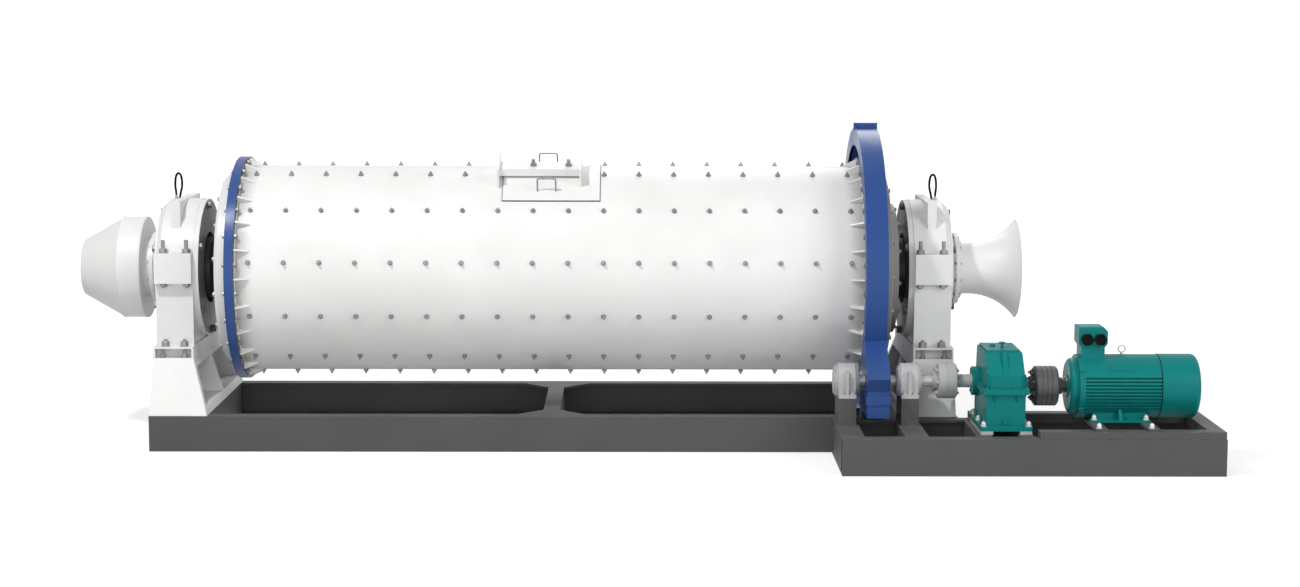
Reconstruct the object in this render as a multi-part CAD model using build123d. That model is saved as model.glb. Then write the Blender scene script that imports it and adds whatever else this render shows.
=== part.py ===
"""Overflow ball mill with a spur-gear drive, in millimetres.

X runs along the drum towards the discharge end and the drive, Y runs away from the drive side,
and Z is up.  The origin is on the floor, under the middle of the drum.
"""
from build123d import *

import os
from math import acos, cos, degrees, pi, radians, sin, sqrt, tan

# Drum
SHELL_R = 768.0               # outside of the rolled shell
SHELL_WALL = 18.0
SHELL_HALF = 2281.0           # drum middle to the inner face of an end flange
DRUM_CLEARANCE = 231.5        # base frame to the shell
FLANGE_STAND = 66.0           # flange rim above the shell
FLANGE_THICK = 33.0           # each of the two flanges bolted together at a drum end
RIB_COUNT = 24                # gussets behind each shell flange
RIB_LENGTH = 104.0
RIB_THICK = 12.0
RIB_SEAT = 0.2                # gusset foot above the shell
RIB_DROP = 14.0               # gusset top below the flange rim
RIB_TOP = 12.0                # flat length at a gusset's top
RIB_TOE = 10.0                # height of a gusset's thin end
HEAD_INSET = 64.0             # raised middle of an end casting inside the shell's radius
HEAD_DISH_DEPTH = 96.5        # from the flange's outer face to the dish's outer face
HEAD_WALL = 46.0
HEAD_EDGE = 22.0              # bevel round the dish
HEAD_NECK_FLARE = 100.0       # neck root outside the journal
HEAD_NECK_LENGTH = 110.0
JOURNAL_R = 230.0
TRUNNION_WALL = 65.0
TRUNNION_REACH = 208.0        # bearing middle to the trunnion's end

# Main bearings and their pedestals
FEED_BEARING_REACH = 417.0    # head flange to the bearing's middle
DISCHARGE_BEARING_REACH = 456.0
BEARING_HALF_WIDTH = 136.0
BEARING_WALL = 290.0          # journal to the outside of the cap
BEARING_GAP = 0.4             # running clearance round the journal
BEARING_STAND = 83.5          # lowest point of the cap's circle above the pedestal
CAP_EDGE = 34.0               # bevel round the cap's outer end
EAR_REACH = 55.0              # ear in front of the cap's circle
EAR_BOTTOM = 60.0             # below the axis
EAR_TOP = 163.0               # above the axis
BODY_INSET = 5.0              # lower body inside the cap's circle
INNER_COVER_INSET = 4.0
INNER_COVER_THICK = 39.0
INNER_COVER_GAP = 38.0        # round the journal
OUTER_COVER_INSET = 50.0
OUTER_COVER_THICK = 18.0
OUTER_COVER_GAP = 6.0
CROWN_BAR_WIDTH = 66.0
CROWN_BAR_INSET = 118.0       # bar's ends behind the cap's circle
CROWN_BAR_STAND = 8.0         # bar above the cap's top
FOOT_HEIGHT = 82.0
FOOT_LEDGE = 95.0             # foot in front of the lower body
FOOT_HALF_WIDTH = 147.0
FOOT_PLATE = 14.0
FOOT_POCKET = 90.0
PEDESTAL_INSET = 14.6         # pedestal foot behind the base frame's face
PEDESTAL_FLARE = 124.0        # extra length of the pedestal's foot towards the drum
PEDESTAL_FRAME = 62.0
PEDESTAL_POCKET = 110.0
TUBE_R = 6.0
TUBE_OUTER_REACH = 69.0       # bearing middle to the oil loop's outer leg
TUBE_INNER_REACH = 17.0
TUBE_HEIGHT = 192.0
TUBE_WAIST = 112.0            # height at which the loop is widest
TUBE_BULGE = 14.0
TUBE_FITTING_R = 15.0
TUBE_FITTING_TOP_R = 8.0
TUBE_FITTING_HEIGHT = 26.0

# Drum feeder and discharge trumpet
CONE_WALL = 10.0
MOUTH_FLANGE_STAND = 37.0     # bolted flange outside the journal
MOUTH_FLANGE_THICK = 30.0
MOUTH_STEP_INSET = 6.0        # step inside the journal
FEEDER_R = 378.6
FEEDER_STAND = 78.7           # trunnion end to the back plate
FEEDER_DRUM_LENGTH = 170.0
FEEDER_CONE_LENGTH = 300.0
FEEDER_MOUTH_R = 209.0
TRUMPET_STEP = 24.0
TRUMPET_NECK_INSET = 38.0     # neck inside the journal
TRUMPET_NECK_LENGTH = 60.0
TRUMPET_RIM_R = 371.0
TRUMPET_LENGTH = 471.0        # trunnion end to the rim

# Girth gear, pinion and guard
MODULE = 16.0
PINION_TEETH = 24
PRESSURE_ANGLE = 20.0
BACKLASH = 1.6                # along each pitch circle
ROOT_DEPTH = 1.25             # tooth root below the pitch circle, in modules
FLANK_START = 4.0             # first point on a flank above its base circle
GEAR_SETBACK = 7.5            # gear middle behind the head flange's face
GEAR_FACE = 110.0
GEAR_RIM = 58.0               # rim under the tooth roots
GEAR_RIM_GAP = 96.0           # drum flange to the inside of the rim
GEAR_FLANGE_GAP = 12.0        # head dish to the inside of the gear's flange
GEAR_FLANGE_THICK = 28.0
PINION_OVERHANG = 3.0         # pinion beyond the gear at each side
GUARD_PLATE = 6.0
GUARD_SIDE_GAP = 15.0         # pinion face to the guard's side plate
GUARD_TIP_GAP = 26.0          # gear tips to the guard's ring
GUARD_MOUTH_GAP = 96.0        # drum flange to the hole in the side plates
HOOD_CREASE_RISE = 286.5      # hood leaves the ring this far above the pinion axis
HOOD_CLEAR = 18.0             # pinion tips to the sump
HOOD_REACH = 105.0            # pinion tips to the hood's front edge
HOOD_SHOULDER = 54.0          # front edge above the pinion axis
HOOD_STEP = 60.0
HOOD_DEPTH = 356.0            # sump length behind the crease
SUMP_DROP = 105.0             # sump joint below the pinion axis
LIP = 32.0
LIP_REACH = 9.0
GUARD_FOOT_PLATE = 12.0
GUARD_SPLIT_HEIGHT = 40.0
GUARD_SPLIT_THICK = 12.0
SHAFT_HOLE_GAP = 14.0

# Pinion shaft, its bearings and the low-speed coupling
PINION_SHAFT_R = 42.0
PINION_BEARING_REACH = (132.5, 155.5)   # guard faces to the bearing middles
PINION_BEARING_GAP = 0.3
PINION_BLOCK_R = 128.0
PINION_BLOCK_HALF = 62.0
PINION_COVER_INSET = 14.0     # cover's first step inside the block
PINION_COVER_THICK = 16.0
PINION_CAP_INSET = 34.0       # cover's second step inside the block
PINION_CAP_THICK = 12.0
PINION_BLIND = 14.0           # closed end of the outer cover
PINION_END_GAP = 6.0
PINION_CENTRE = 103.0         # pinion axis above its stand
PINION_FOOT_FRONT = 172.0     # pinion axis to the front of the stand
PINION_FOOT_THICK = 26.0
PINION_RIB = 22.0
PINION_RIB_TOP = 82.0
LOW_COUPLING_REACH = 210.0    # second bearing's middle to the coupling
LOW_COUPLING_LENGTH = 134.0
LOW_COUPLING_R = 126.0
LOW_HUB_R = 58.0
LOW_HUB_LENGTH = 36.0
COUPLING_GROOVE = 4.0
COUPLING_EDGE = 6.0
OUTPUT_SHAFT_R = 48.0
OUTPUT_SHAFT_LENGTH = 114.0

# Base frames
BASE_H = 259.0
BEAM_FLANGE = 112.0
BEAM_WEB = 14.0
BEAM_FLANGE_THICK = 18.0
BASE_SUMP_REACH = 133.3       # guard sump's rear edge to the face of the main frame
FEED_END_REACH = 2.0          # frame beyond the pedestals
DISCHARGE_END_REACH = 12.0
MID_BEAM_WIDTH = 120.0
MID_BEAM_CORNER = 190.0
DRIVE_GAP = 8.0               # between the two frames
DRIVE_FRONT_REACH = 499.0     # motor axis to the drive frame's face
DRIVE_LEFT_REACH = 80.0       # first pinion bearing to the drive frame's end
DRIVE_RIGHT_REACH = 119.0      # fan cover to the drive frame's end
STAND_BEAM_HALF = 82.0
NEAR_BEAM_REACH = (-216.0, -107.0)   # reducer middle to the edges of the beams under it
FAR_BEAM_REACH = (83.0, 183.0)
END_BEAM_WIDTH = 118.0
PAD_HEIGHT = 51.0
PAD_SETBACK = 5.0
PAD_GAP = 29.0                # reducer foot to the front pad
PAD_REAR_GAP = 15.0

# Reducer
REDUCER_CENTRES = 215.0
REDUCER_HALF_WIDTH = 137.0
REDUCER_COVER_HALF = 131.0
REDUCER_FRONT_REACH = 268.0   # input shaft to the front of the case
REDUCER_REAR_REACH = 92.0     # output shaft to the back of the case
REDUCER_FOOT_HALF = 178.0
REDUCER_FOOT_OUT = 52.0
REDUCER_FOOT_THICK = 30.0
PACKING_THICK = 24.0
PACKING_WIDTH = 84.0
REDUCER_FLANGE_THICK = 40.0
REDUCER_FLANGE_OUT = 22.0
REDUCER_RISE = 270.0          # shafts to the top of the lid
REDUCER_LID = 16.0
REDUCER_LID_INSET = 14.0
REDUCER_BROW = 105.0
REDUCER_SLOPE = 150.0         # front of the case to the front of the crown
REDUCER_REAR_SLOPE = 30.0
REDUCER_CORNER = 26.0         # bevel on the cover's upright corners
FLANGE_RIB = 12.0
FLANGE_RIB_DROP = 58.0
FLANGE_RIB_X = 78.0
BROW_RIB = 34.0
BROW_RIB_STAND = 34.0
BOSS_R = 104.0
OUTPUT_BOSS_LENGTH = 38.0
INPUT_BOSS_R = 80.0
INPUT_BOSS_LENGTH = 42.0
BOSS_GAP = 0.3                # between a shaft shoulder and a boss face

# High-speed coupling and motor
INPUT_SHAFT_R = 42.0
INPUT_SHAFT_LENGTH = 30.0
HIGH_COUPLING_R = 141.0
HIGH_COUPLING_LENGTH = 165.0
HIGH_COUPLING_EDGE = 12.0
HIGH_GROOVE_PITCH = 34.0
HIGH_HUB_R = 60.0
HIGH_HUB_STAND = 22.0         # hub towards the reducer
HIGH_HUB_LENGTH = 36.0        # hub towards the motor
MOTOR_SHAFT_LENGTH = 37.0
MOTOR_R = 226.0
MOTOR_FLOOR_GAP = 1.0         # motor body above the rails
BELL_LENGTH = 88.0
BELL_RIM = 30.0
BELL_INSET = 27.0             # bell barrel inside the body
BELL_SHOULDER = 34.0          # rounding at the bell's face
BELL_CAP_R = 80.0
BELL_CAP_THICK = 6.0
BELL_CAP_GAP = 8.0            # round the shaft
MOTOR_BODY_LENGTH = 550.0
FAN_COVER_LENGTH = 275.0
FAN_COVER_STAND = 3.0
FAN_COVER_EDGE = 42.0
FIN_DEPTH = 22.0
FIN_COUNT = 10
FIN_PITCH = 24.5
FIN_GAP = 12.0
FIN_DROP = 26.0               # fin group's middle below the motor axis
FIN_END = 8.0                # plain ring beside the bell
BOX_REACH = 165.0             # motor's shaft end to the terminal box's middle
BOX_HALF_LENGTH = 102.0
BOX_HALF_DEPTH = 92.0
BOX_STAND = 61.0              # box bottom above the motor body
BOX_HEIGHT = 141.0
BOX_CHAMFER = 26.0
BOX_NECK_HALF = 82.0
BOX_SEAT = 45.0               # neck below the top of the motor body
GLAND_R = 44.0
GLAND_LENGTH = 34.0
GLAND_SPACING = 94.0
GLAND_SHIFT = 2.0
GLAND_DROP = 12.5
RAIL_REACH = (164.0, 530.0)   # motor's shaft end to the rails
RAIL_WIDTH = 84.0
RAIL_HEIGHT = 18.0
RAIL_SETBACK = 30.0
FEET_OVERHANG = 25.0
FEET_HALF_SPAN = 222.0
FEET_WIDTH = 130.0
FEET_WEB = 60.0
FEET_WEB_INSET = 20.0
FEET_THICK = 16.0
FEET_RIB = 22.0
EYE_REACH = 385.0
EYE_R = 24.0
EYE_ROD_R = 6.0
EYE_BOSS_R = 11.0
EYE_BOSS_HEIGHT = 16.0

# Manhole
MANHOLE_HALF_LENGTH = 355.0
MANHOLE_HALF_ANGLE = 23.3
MANHOLE_ANGLE = 68.75         # middle of the cover above the horizontal, towards the drive side
MANHOLE_THICK = 10.0
MANHOLE_LAP = 60.0            # cover over the edge of the opening
BRIDGE_REACH = (-390.0, 212.0)   # drum middle to the two bracket plates
BRIDGE_PLATE = 14.0
BRIDGE_PLATE_HALF = 176.0
BRIDGE_PLATE_TOP = 126.0      # above the shell
BRIDGE_BAR_HALF = 64.0
BRIDGE_BAR_BOTTOM = 26.0
BRIDGE_BAR_TOP = 81.0
HANDLE_ROD_R = 6.0
HANDLE_LENGTH = 134.0
HANDLE_HEIGHT = 100.0
HANDLE_BEND = 15.0
HANDLE_SHIFT = -34.0          # handles off the drum's middle
HANDLE_EDGE = 84.8            # cover's long edge to a handle
HANDLE_SINK = 8.0             # leg length that the cover's curve trims away
CLAMP_BOLT_R = 14.0
CLAMP_BOLT_REACH = (-137.0, 122.0)
CLAMP_BOLT_RISE = 50.0
CLAMP_NUT_R = 24.0
CLAMP_NUT_HEIGHT = 16.0

# Worked-out sizes
AXIS_Z = BASE_H + DRUM_CLEARANCE + SHELL_R
FLANGE_R = SHELL_R + FLANGE_STAND
HEAD_DISH_R = SHELL_R - HEAD_INSET
TRUNNION_BORE_R = JOURNAL_R - TRUNNION_WALL
BEARING_R = JOURNAL_R + BEARING_WALL
CROWN_BAR_TOP = AXIS_Z + BEARING_R + CROWN_BAR_STAND
EAR_HALF_SPAN = BEARING_R + EAR_REACH
BODY_HALF_SPAN = BEARING_R - BODY_INSET
FOOT_HALF_SPAN = BODY_HALF_SPAN + FOOT_LEDGE
PEDESTAL_TOP = AXIS_Z - BEARING_R - BEARING_STAND
MOUTH_FLANGE_R = JOURNAL_R + MOUTH_FLANGE_STAND
MOUTH_STEP_R = JOURNAL_R - MOUTH_STEP_INSET
GEAR_TEETH = round(2 * (FLANGE_R + GEAR_RIM_GAP + GEAR_RIM) / MODULE + 2 * ROOT_DEPTH)
GEAR_PITCH_R = MODULE * GEAR_TEETH / 2
GEAR_RIM_R = GEAR_PITCH_R - ROOT_DEPTH * MODULE - GEAR_RIM
PINION_TIP_R = MODULE * (PINION_TEETH / 2 + 1)
PINION_FACE = GEAR_FACE + 2 * PINION_OVERHANG
GUARD_WIDTH = PINION_FACE + 2 * GUARD_SIDE_GAP + 2 * GUARD_PLATE
GUARD_R = GEAR_PITCH_R + MODULE + GUARD_TIP_GAP + GUARD_PLATE
GUARD_MOUTH_R = FLANGE_R + GUARD_MOUTH_GAP

# Worked-out places along the drum
FLANGE_FACE = SHELL_HALF + FLANGE_THICK
HEAD_FACE = FLANGE_FACE + FLANGE_THICK
FEED_BEARING_X = -HEAD_FACE - FEED_BEARING_REACH
DISCHARGE_BEARING_X = HEAD_FACE + DISCHARGE_BEARING_REACH
FEED_END = FEED_BEARING_X - TRUNNION_REACH
DISCHARGE_END = DISCHARGE_BEARING_X + TRUNNION_REACH
FEEDER_BACK_X = FEED_END - FEEDER_STAND
GEAR_MID_X = HEAD_FACE - GEAR_SETBACK
GUARD_X = (GEAR_MID_X - GUARD_WIDTH / 2, GEAR_MID_X + GUARD_WIDTH / 2)
PINION_BEARING_X = (GUARD_X[0] - PINION_BEARING_REACH[0], GUARD_X[1] + PINION_BEARING_REACH[1])
PINION_COVER_HALF = PINION_BLOCK_HALF + PINION_COVER_THICK + PINION_CAP_THICK
SHAFT_LEFT = PINION_BEARING_X[0] - PINION_COVER_HALF + PINION_BLIND + PINION_END_GAP
LOW_COUPLING_X = PINION_BEARING_X[1] + LOW_COUPLING_REACH
OUTPUT_BOSS_X = LOW_COUPLING_X + LOW_COUPLING_LENGTH + OUTPUT_SHAFT_LENGTH
REDUCER_X = OUTPUT_BOSS_X + OUTPUT_BOSS_LENGTH + REDUCER_HALF_WIDTH
INPUT_BOSS_X = REDUCER_X + REDUCER_HALF_WIDTH + INPUT_BOSS_LENGTH
HIGH_COUPLING_X = INPUT_BOSS_X + INPUT_SHAFT_LENGTH + HIGH_HUB_STAND
MOTOR_LEFT = HIGH_COUPLING_X + HIGH_COUPLING_LENGTH + HIGH_HUB_LENGTH + MOTOR_SHAFT_LENGTH
BELL_END = MOTOR_LEFT + BELL_LENGTH
BODY_END = BELL_END + MOTOR_BODY_LENGTH
FAN_END = BODY_END + FAN_COVER_LENGTH
RAIL_X = (MOTOR_LEFT + RAIL_REACH[0], MOTOR_LEFT + RAIL_REACH[1])
BASE_LEFT = FEED_BEARING_X - FOOT_HALF_WIDTH - FEED_END_REACH
BASE_RIGHT = DISCHARGE_BEARING_X + FOOT_HALF_WIDTH + DISCHARGE_END_REACH
DRIVE_LEFT = PINION_BEARING_X[0] - DRIVE_LEFT_REACH
DRIVE_RIGHT = FAN_END + DRIVE_RIGHT_REACH

# Worked-out places across the machine and above the floor
PAD_TOP = BASE_H + PAD_HEIGHT
RAIL_TOP = PAD_TOP + RAIL_HEIGHT
SHAFT_Z = RAIL_TOP + MOTOR_FLOOR_GAP + MOTOR_R
STAND_TOP = SHAFT_Z - PINION_CENTRE
SUMP_TOP = SHAFT_Z - SUMP_DROP
SUMP_BOTTOM = SHAFT_Z - PINION_TIP_R - HOOD_CLEAR - GUARD_PLATE
PITCH_DISTANCE = GEAR_PITCH_R + MODULE * PINION_TEETH / 2
PINION_Y = -sqrt(PITCH_DISTANCE ** 2 - (AXIS_Z - SHAFT_Z) ** 2)
MESH_ANGLE = degrees(acos(PINION_Y / PITCH_DISTANCE))
SUMP_REAR = -sqrt(GUARD_R ** 2 - (AXIS_Z - SUMP_TOP) ** 2)
BASE_HALF_WIDTH = BASE_SUMP_REACH - SUMP_REAR
PEDESTAL_HALF_SPAN = BASE_HALF_WIDTH - PEDESTAL_INSET
MOTOR_Y = PINION_Y - REDUCER_CENTRES
DRIVE_FRONT = MOTOR_Y - DRIVE_FRONT_REACH
DRIVE_REAR = -BASE_HALF_WIDTH - DRIVE_GAP
REDUCER_FRONT = MOTOR_Y - REDUCER_FRONT_REACH
REDUCER_REAR = PINION_Y + REDUCER_REAR_REACH
HOOD_FRONT = PINION_Y - PINION_TIP_R - HOOD_REACH
SUMP_FRONT = HOOD_FRONT + HOOD_STEP
BEARING_SPLIT = AXIS_Z + EAR_TOP / 2
FOOT_TOP = PEDESTAL_TOP + FOOT_HEIGHT
CUT = 1.0                     # how far a cutting tool runs past a face


def block(x0, x1, y0, y1, z0, z1):
    """A box between two corners."""
    middle = Pos((x0 + x1) / 2, (y0 + y1) / 2, (z0 + z1) / 2)
    return middle * Box(x1 - x0, y1 - y0, z1 - z0)


def outline(points):
    """A face inside straight edges."""
    return make_face(Polyline(*points, close=True))


def turned(profile, y=0.0, z=AXIS_Z):
    """A solid of revolution about a line along X, from a face drawn as (x, radius)."""
    return Pos(0, y, z) * revolve(Plane.XZ * profile, axis=Axis.X)


def ring(x0, x1, inner, outer, y=0.0, z=AXIS_Z):
    """A disc or tube along X."""
    return turned(outline([(x0, inner), (x1, inner), (x1, outer), (x0, outer)]), y, z)


def rod(x0, x1, radius, y, z):
    """A round bar along X."""
    return turned(outline([(x0, 0), (x1, 0), (x1, radius), (x0, radius)]), y, z)


def plate(points, x0, x1):
    """A plate cut to an outline in Y and Z, from x0 to x1."""
    return extrude(Plane.YZ.offset(x0) * outline(points), amount=x1 - x0)


def channel_beam(x0, x1, web_y, inward):
    """A channel lying along X with its web outside and its flanges pointing inward."""
    back = web_y + inward * BEAM_WEB
    tip = web_y + inward * BEAM_FLANGE
    low = BEAM_FLANGE_THICK
    high = BASE_H - BEAM_FLANGE_THICK
    lower = [(web_y, 0), (tip, 0), (tip, low), (back, low)]
    upper = [(back, high), (tip, high), (tip, BASE_H), (web_y, BASE_H)]
    return plate(lower + upper, x0, x1)


def drum_shell():
    """Rolled shell with the opening that the manhole cover closes."""
    shell = ring(-FLANGE_FACE, FLANGE_FACE, SHELL_R - SHELL_WALL, SHELL_R)
    half_length = MANHOLE_HALF_LENGTH - MANHOLE_LAP
    half_width = SHELL_R * radians(MANHOLE_HALF_ANGLE) - MANHOLE_LAP
    opening = block(-half_length, half_length, -half_width, half_width, AXIS_Z, AXIS_Z + 2 * SHELL_R)
    return shell - manhole_turn() * opening


def shell_flange(side):
    """The flange welded round a shell end, with its ring of gussets."""
    inner = side * SHELL_HALF
    flange = ring(inner, side * FLANGE_FACE, SHELL_R, FLANGE_R)
    toe = inner - side * RIB_LENGTH
    gusset_outline = [
        (inner, SHELL_R + RIB_SEAT),
        (inner, FLANGE_R - RIB_DROP),
        (inner - side * RIB_TOP, FLANGE_R - RIB_DROP),
        (toe, SHELL_R + RIB_TOE),
        (toe, SHELL_R + RIB_SEAT),
    ]
    gusset = extrude(Plane.XZ * outline(gusset_outline), amount=RIB_THICK / 2, both=True)
    gussets = [Pos(0, 0, AXIS_Z) * Rot(360 * i / RIB_COUNT, 0, 0) * gusset for i in range(RIB_COUNT)]
    return flange + gussets


def drum_head(side, trunnion_end):
    """An end casting: bolted flange, raised dish, neck and hollow trunnion in one piece."""
    face = HEAD_FACE + HEAD_DISH_DEPTH
    points = [
        (FLANGE_FACE, HEAD_DISH_R - HEAD_WALL),
        (FLANGE_FACE, FLANGE_R),
        (HEAD_FACE, FLANGE_R),
        (HEAD_FACE, HEAD_DISH_R),
        (face - HEAD_EDGE, HEAD_DISH_R),
        (face, HEAD_DISH_R - HEAD_EDGE),
        (face, JOURNAL_R + HEAD_NECK_FLARE),
        (face + HEAD_NECK_LENGTH, JOURNAL_R),
        (abs(trunnion_end), JOURNAL_R),
        (abs(trunnion_end), TRUNNION_BORE_R),
        (face - HEAD_WALL, TRUNNION_BORE_R),
        (face - HEAD_WALL, HEAD_DISH_R - HEAD_WALL),
    ]
    return turned(outline([(side * x, r) for x, r in points]))


def feeder_back():
    """Flange that bolts the feeding drum to the trunnion, with its step and annular back plate."""
    flange_face = FEED_END - MOUTH_FLANGE_THICK
    points = [
        (FEED_END, TRUNNION_BORE_R),
        (FEED_END, MOUTH_FLANGE_R),
        (flange_face, MOUTH_FLANGE_R),
        (flange_face, MOUTH_STEP_R),
        (FEEDER_BACK_X, MOUTH_STEP_R),
        (FEEDER_BACK_X, FEEDER_R),
        (FEEDER_BACK_X - CONE_WALL, FEEDER_R),
        (FEEDER_BACK_X - CONE_WALL, TRUNNION_BORE_R),
    ]
    return turned(outline(points))


def drum_feeder():
    """Feeding drum: a cylinder and an open cone rolled from plate."""
    front = FEEDER_BACK_X - CONE_WALL
    rear = FEEDER_BACK_X - FEEDER_DRUM_LENGTH
    mouth = rear - FEEDER_CONE_LENGTH
    points = [
        (front, FEEDER_R),
        (rear, FEEDER_R),
        (mouth, FEEDER_MOUTH_R),
        (mouth, FEEDER_MOUTH_R - CONE_WALL),
        (rear, FEEDER_R - CONE_WALL),
        (front, FEEDER_R - CONE_WALL),
    ]
    return turned(outline(points))


def discharge_trumpet():
    """Flared discharge mouth bolted to the trunnion's end."""
    flange_face = DISCHARGE_END + MOUTH_FLANGE_THICK
    step_face = flange_face + TRUMPET_STEP
    flare_start = step_face + TRUMPET_NECK_LENGTH
    rim = DISCHARGE_END + TRUMPET_LENGTH
    neck_r = JOURNAL_R - TRUMPET_NECK_INSET
    neck_inside = neck_r - CONE_WALL
    run = rim - flare_start
    rise = TRUMPET_RIM_R - neck_r
    bend_r = (run ** 2 + rise ** 2) / (2 * rise)
    half_turn = acos((bend_r - rise) / bend_r) / 2
    mid_x = flare_start + bend_r * sin(half_turn)
    mid_r = neck_r + bend_r * (1 - cos(half_turn))
    edge = Polyline(
        (flare_start, neck_inside),
        (DISCHARGE_END, neck_inside),
        (DISCHARGE_END, MOUTH_FLANGE_R),
        (flange_face, MOUTH_FLANGE_R),
        (flange_face, MOUTH_STEP_R),
        (step_face, MOUTH_STEP_R),
        (step_face, neck_r),
        (flare_start, neck_r),
    )
    rim_inside = TRUMPET_RIM_R - CONE_WALL
    outside = ThreePointArc((flare_start, neck_r), (mid_x, mid_r), (rim, TRUMPET_RIM_R))
    lip = Line((rim, TRUMPET_RIM_R), (rim, rim_inside))
    inside = ThreePointArc((rim, rim_inside), (mid_x, mid_r - CONE_WALL), (flare_start, neck_inside))
    return turned(make_face([edge, outside, lip, inside]))


def gear_outline(teeth, turn):
    """Involute gear outline with a tooth centred on the direction turn, in degrees."""
    pitch_r = MODULE * teeth / 2
    base_r = pitch_r * cos(radians(PRESSURE_ANGLE))
    tip_r = pitch_r + MODULE
    root_r = pitch_r - ROOT_DEPTH * MODULE

    def involute(radius):
        slope = acos(min(1.0, base_r / radius))
        return tan(slope) - slope

    half_at_pitch = pi / (2 * teeth) - BACKLASH / 4 / pitch_r
    flank_start = max(base_r, root_r)
    flank = [(root_r, half_at_pitch + involute(pitch_r) - involute(flank_start))]
    for radius in (flank_start + FLANK_START, pitch_r, tip_r):
        flank.append((radius, half_at_pitch + involute(pitch_r) - involute(radius)))
    points = []
    for tooth in range(teeth):
        middle = radians(turn) + 2 * pi * tooth / teeth
        for radius, half in flank:
            points.append((radius * cos(middle - half), radius * sin(middle - half)))
        for radius, half in reversed(flank):
            points.append((radius * cos(middle + half), radius * sin(middle + half)))
    return outline(points)


def girth_gear():
    """Toothed rim with its inner flange, in mesh with the pinion on the line of centres."""
    half_tooth = 180 / GEAR_TEETH
    toothed = gear_outline(GEAR_TEETH, -MESH_ANGLE + half_tooth) - Circle(GEAR_RIM_R)
    start = GEAR_MID_X - GEAR_FACE / 2
    rim = Pos(0, 0, AXIS_Z) * extrude(Plane.YZ.offset(start) * toothed, amount=GEAR_FACE)
    return rim + ring(HEAD_FACE, HEAD_FACE + GEAR_FLANGE_THICK, HEAD_DISH_R + GEAR_FLANGE_GAP, GEAR_RIM_R)


def pinion_shaft():
    """Pinion forged on its shaft, carried in two bearings."""
    start = GEAR_MID_X - PINION_FACE / 2
    teeth = Plane.YZ.offset(start) * gear_outline(PINION_TEETH, 180 - MESH_ANGLE)
    pinion = Pos(0, PINION_Y, SHAFT_Z) * extrude(teeth, amount=PINION_FACE)
    return pinion + rod(SHAFT_LEFT, LOW_COUPLING_X, PINION_SHAFT_R, PINION_Y, SHAFT_Z)


def groove(middle, rim):
    """Profile points of a groove turned into a coupling's rim."""
    half = COUPLING_GROOVE / 2
    floor = rim - COUPLING_GROOVE
    return [(middle - half, rim), (middle - half, floor), (middle + half, floor), (middle + half, rim)]


def low_speed_coupling():
    """Flanged coupling from the reducer's output shaft to the pinion shaft."""
    start = LOW_COUPLING_X
    end = LOW_COUPLING_X + LOW_COUPLING_LENGTH
    rim = LOW_COUPLING_R
    points = [(start, 0), (start, rim - COUPLING_EDGE), (start + COUPLING_EDGE, rim)]
    points += groove((start + end) / 2, rim)
    points += [
        (end - COUPLING_EDGE, rim),
        (end, rim - COUPLING_EDGE),
        (end, OUTPUT_SHAFT_R),
        (OUTPUT_BOSS_X - BOSS_GAP, OUTPUT_SHAFT_R),
        (OUTPUT_BOSS_X - BOSS_GAP, 0),
    ]
    flanges = turned(outline(points), PINION_Y, SHAFT_Z)
    return flanges + ring(start - LOW_HUB_LENGTH, start, PINION_SHAFT_R, LOW_HUB_R, PINION_Y, SHAFT_Z)


def high_speed_coupling():
    """Pin coupling between the reducer's input shaft and the motor shaft."""
    start = HIGH_COUPLING_X
    end = HIGH_COUPLING_X + HIGH_COUPLING_LENGTH
    rim = HIGH_COUPLING_R
    points = [
        (INPUT_BOSS_X + BOSS_GAP, 0),
        (INPUT_BOSS_X + BOSS_GAP, INPUT_SHAFT_R),
        (start - HIGH_HUB_STAND, INPUT_SHAFT_R),
        (start - HIGH_HUB_STAND, HIGH_HUB_R),
        (start, HIGH_HUB_R),
        (start, rim - HIGH_COUPLING_EDGE),
        (start + HIGH_COUPLING_EDGE, rim),
    ]
    for i in (-1, 0, 1):
        points += groove((start + end) / 2 + i * HIGH_GROOVE_PITCH, rim)
    points += [
        (end - HIGH_COUPLING_EDGE, rim),
        (end, rim - HIGH_COUPLING_EDGE),
        (end, HIGH_HUB_R),
        (end + HIGH_HUB_LENGTH, HIGH_HUB_R),
        (end + HIGH_HUB_LENGTH, INPUT_SHAFT_R),
        (MOTOR_LEFT - BOSS_GAP, INPUT_SHAFT_R),
        (MOTOR_LEFT - BOSS_GAP, 0),
    ]
    return turned(outline(points), MOTOR_Y, SHAFT_Z)


def journal_hole(x0, x1):
    """Running clearance round a trunnion."""
    return ring(x0 - CUT, x1 + CUT, 0, JOURNAL_R + BEARING_GAP)


def bearing_base(middle):
    """Bearing body below the split, with its ears and hollow-ended foot."""
    x0 = middle - BEARING_HALF_WIDTH
    x1 = middle + BEARING_HALF_WIDTH
    ear_low = AXIS_Z - EAR_BOTTOM
    half = [
        (EAR_HALF_SPAN, BEARING_SPLIT),
        (EAR_HALF_SPAN, ear_low),
        (BODY_HALF_SPAN, ear_low),
        (BODY_HALF_SPAN, FOOT_TOP),
    ]
    body = plate(half + [(-y, z) for y, z in reversed(half)], x0, x1)
    foot_x0 = middle - FOOT_HALF_WIDTH
    foot_x1 = middle + FOOT_HALF_WIDTH
    foot = block(foot_x0, foot_x1, -FOOT_HALF_SPAN, FOOT_HALF_SPAN, PEDESTAL_TOP, FOOT_TOP)
    pocket_x0 = foot_x0 + FOOT_PLATE
    pocket_x1 = foot_x1 - FOOT_PLATE
    for side in (-1, 1):
        y0, y1 = sorted((side * (FOOT_HALF_SPAN + CUT), side * (FOOT_HALF_SPAN - FOOT_POCKET)))
        foot -= block(pocket_x0, pocket_x1, y0, y1, PEDESTAL_TOP, FOOT_TOP - FOOT_PLATE)
    return body + foot - journal_hole(x0, x1)


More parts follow.
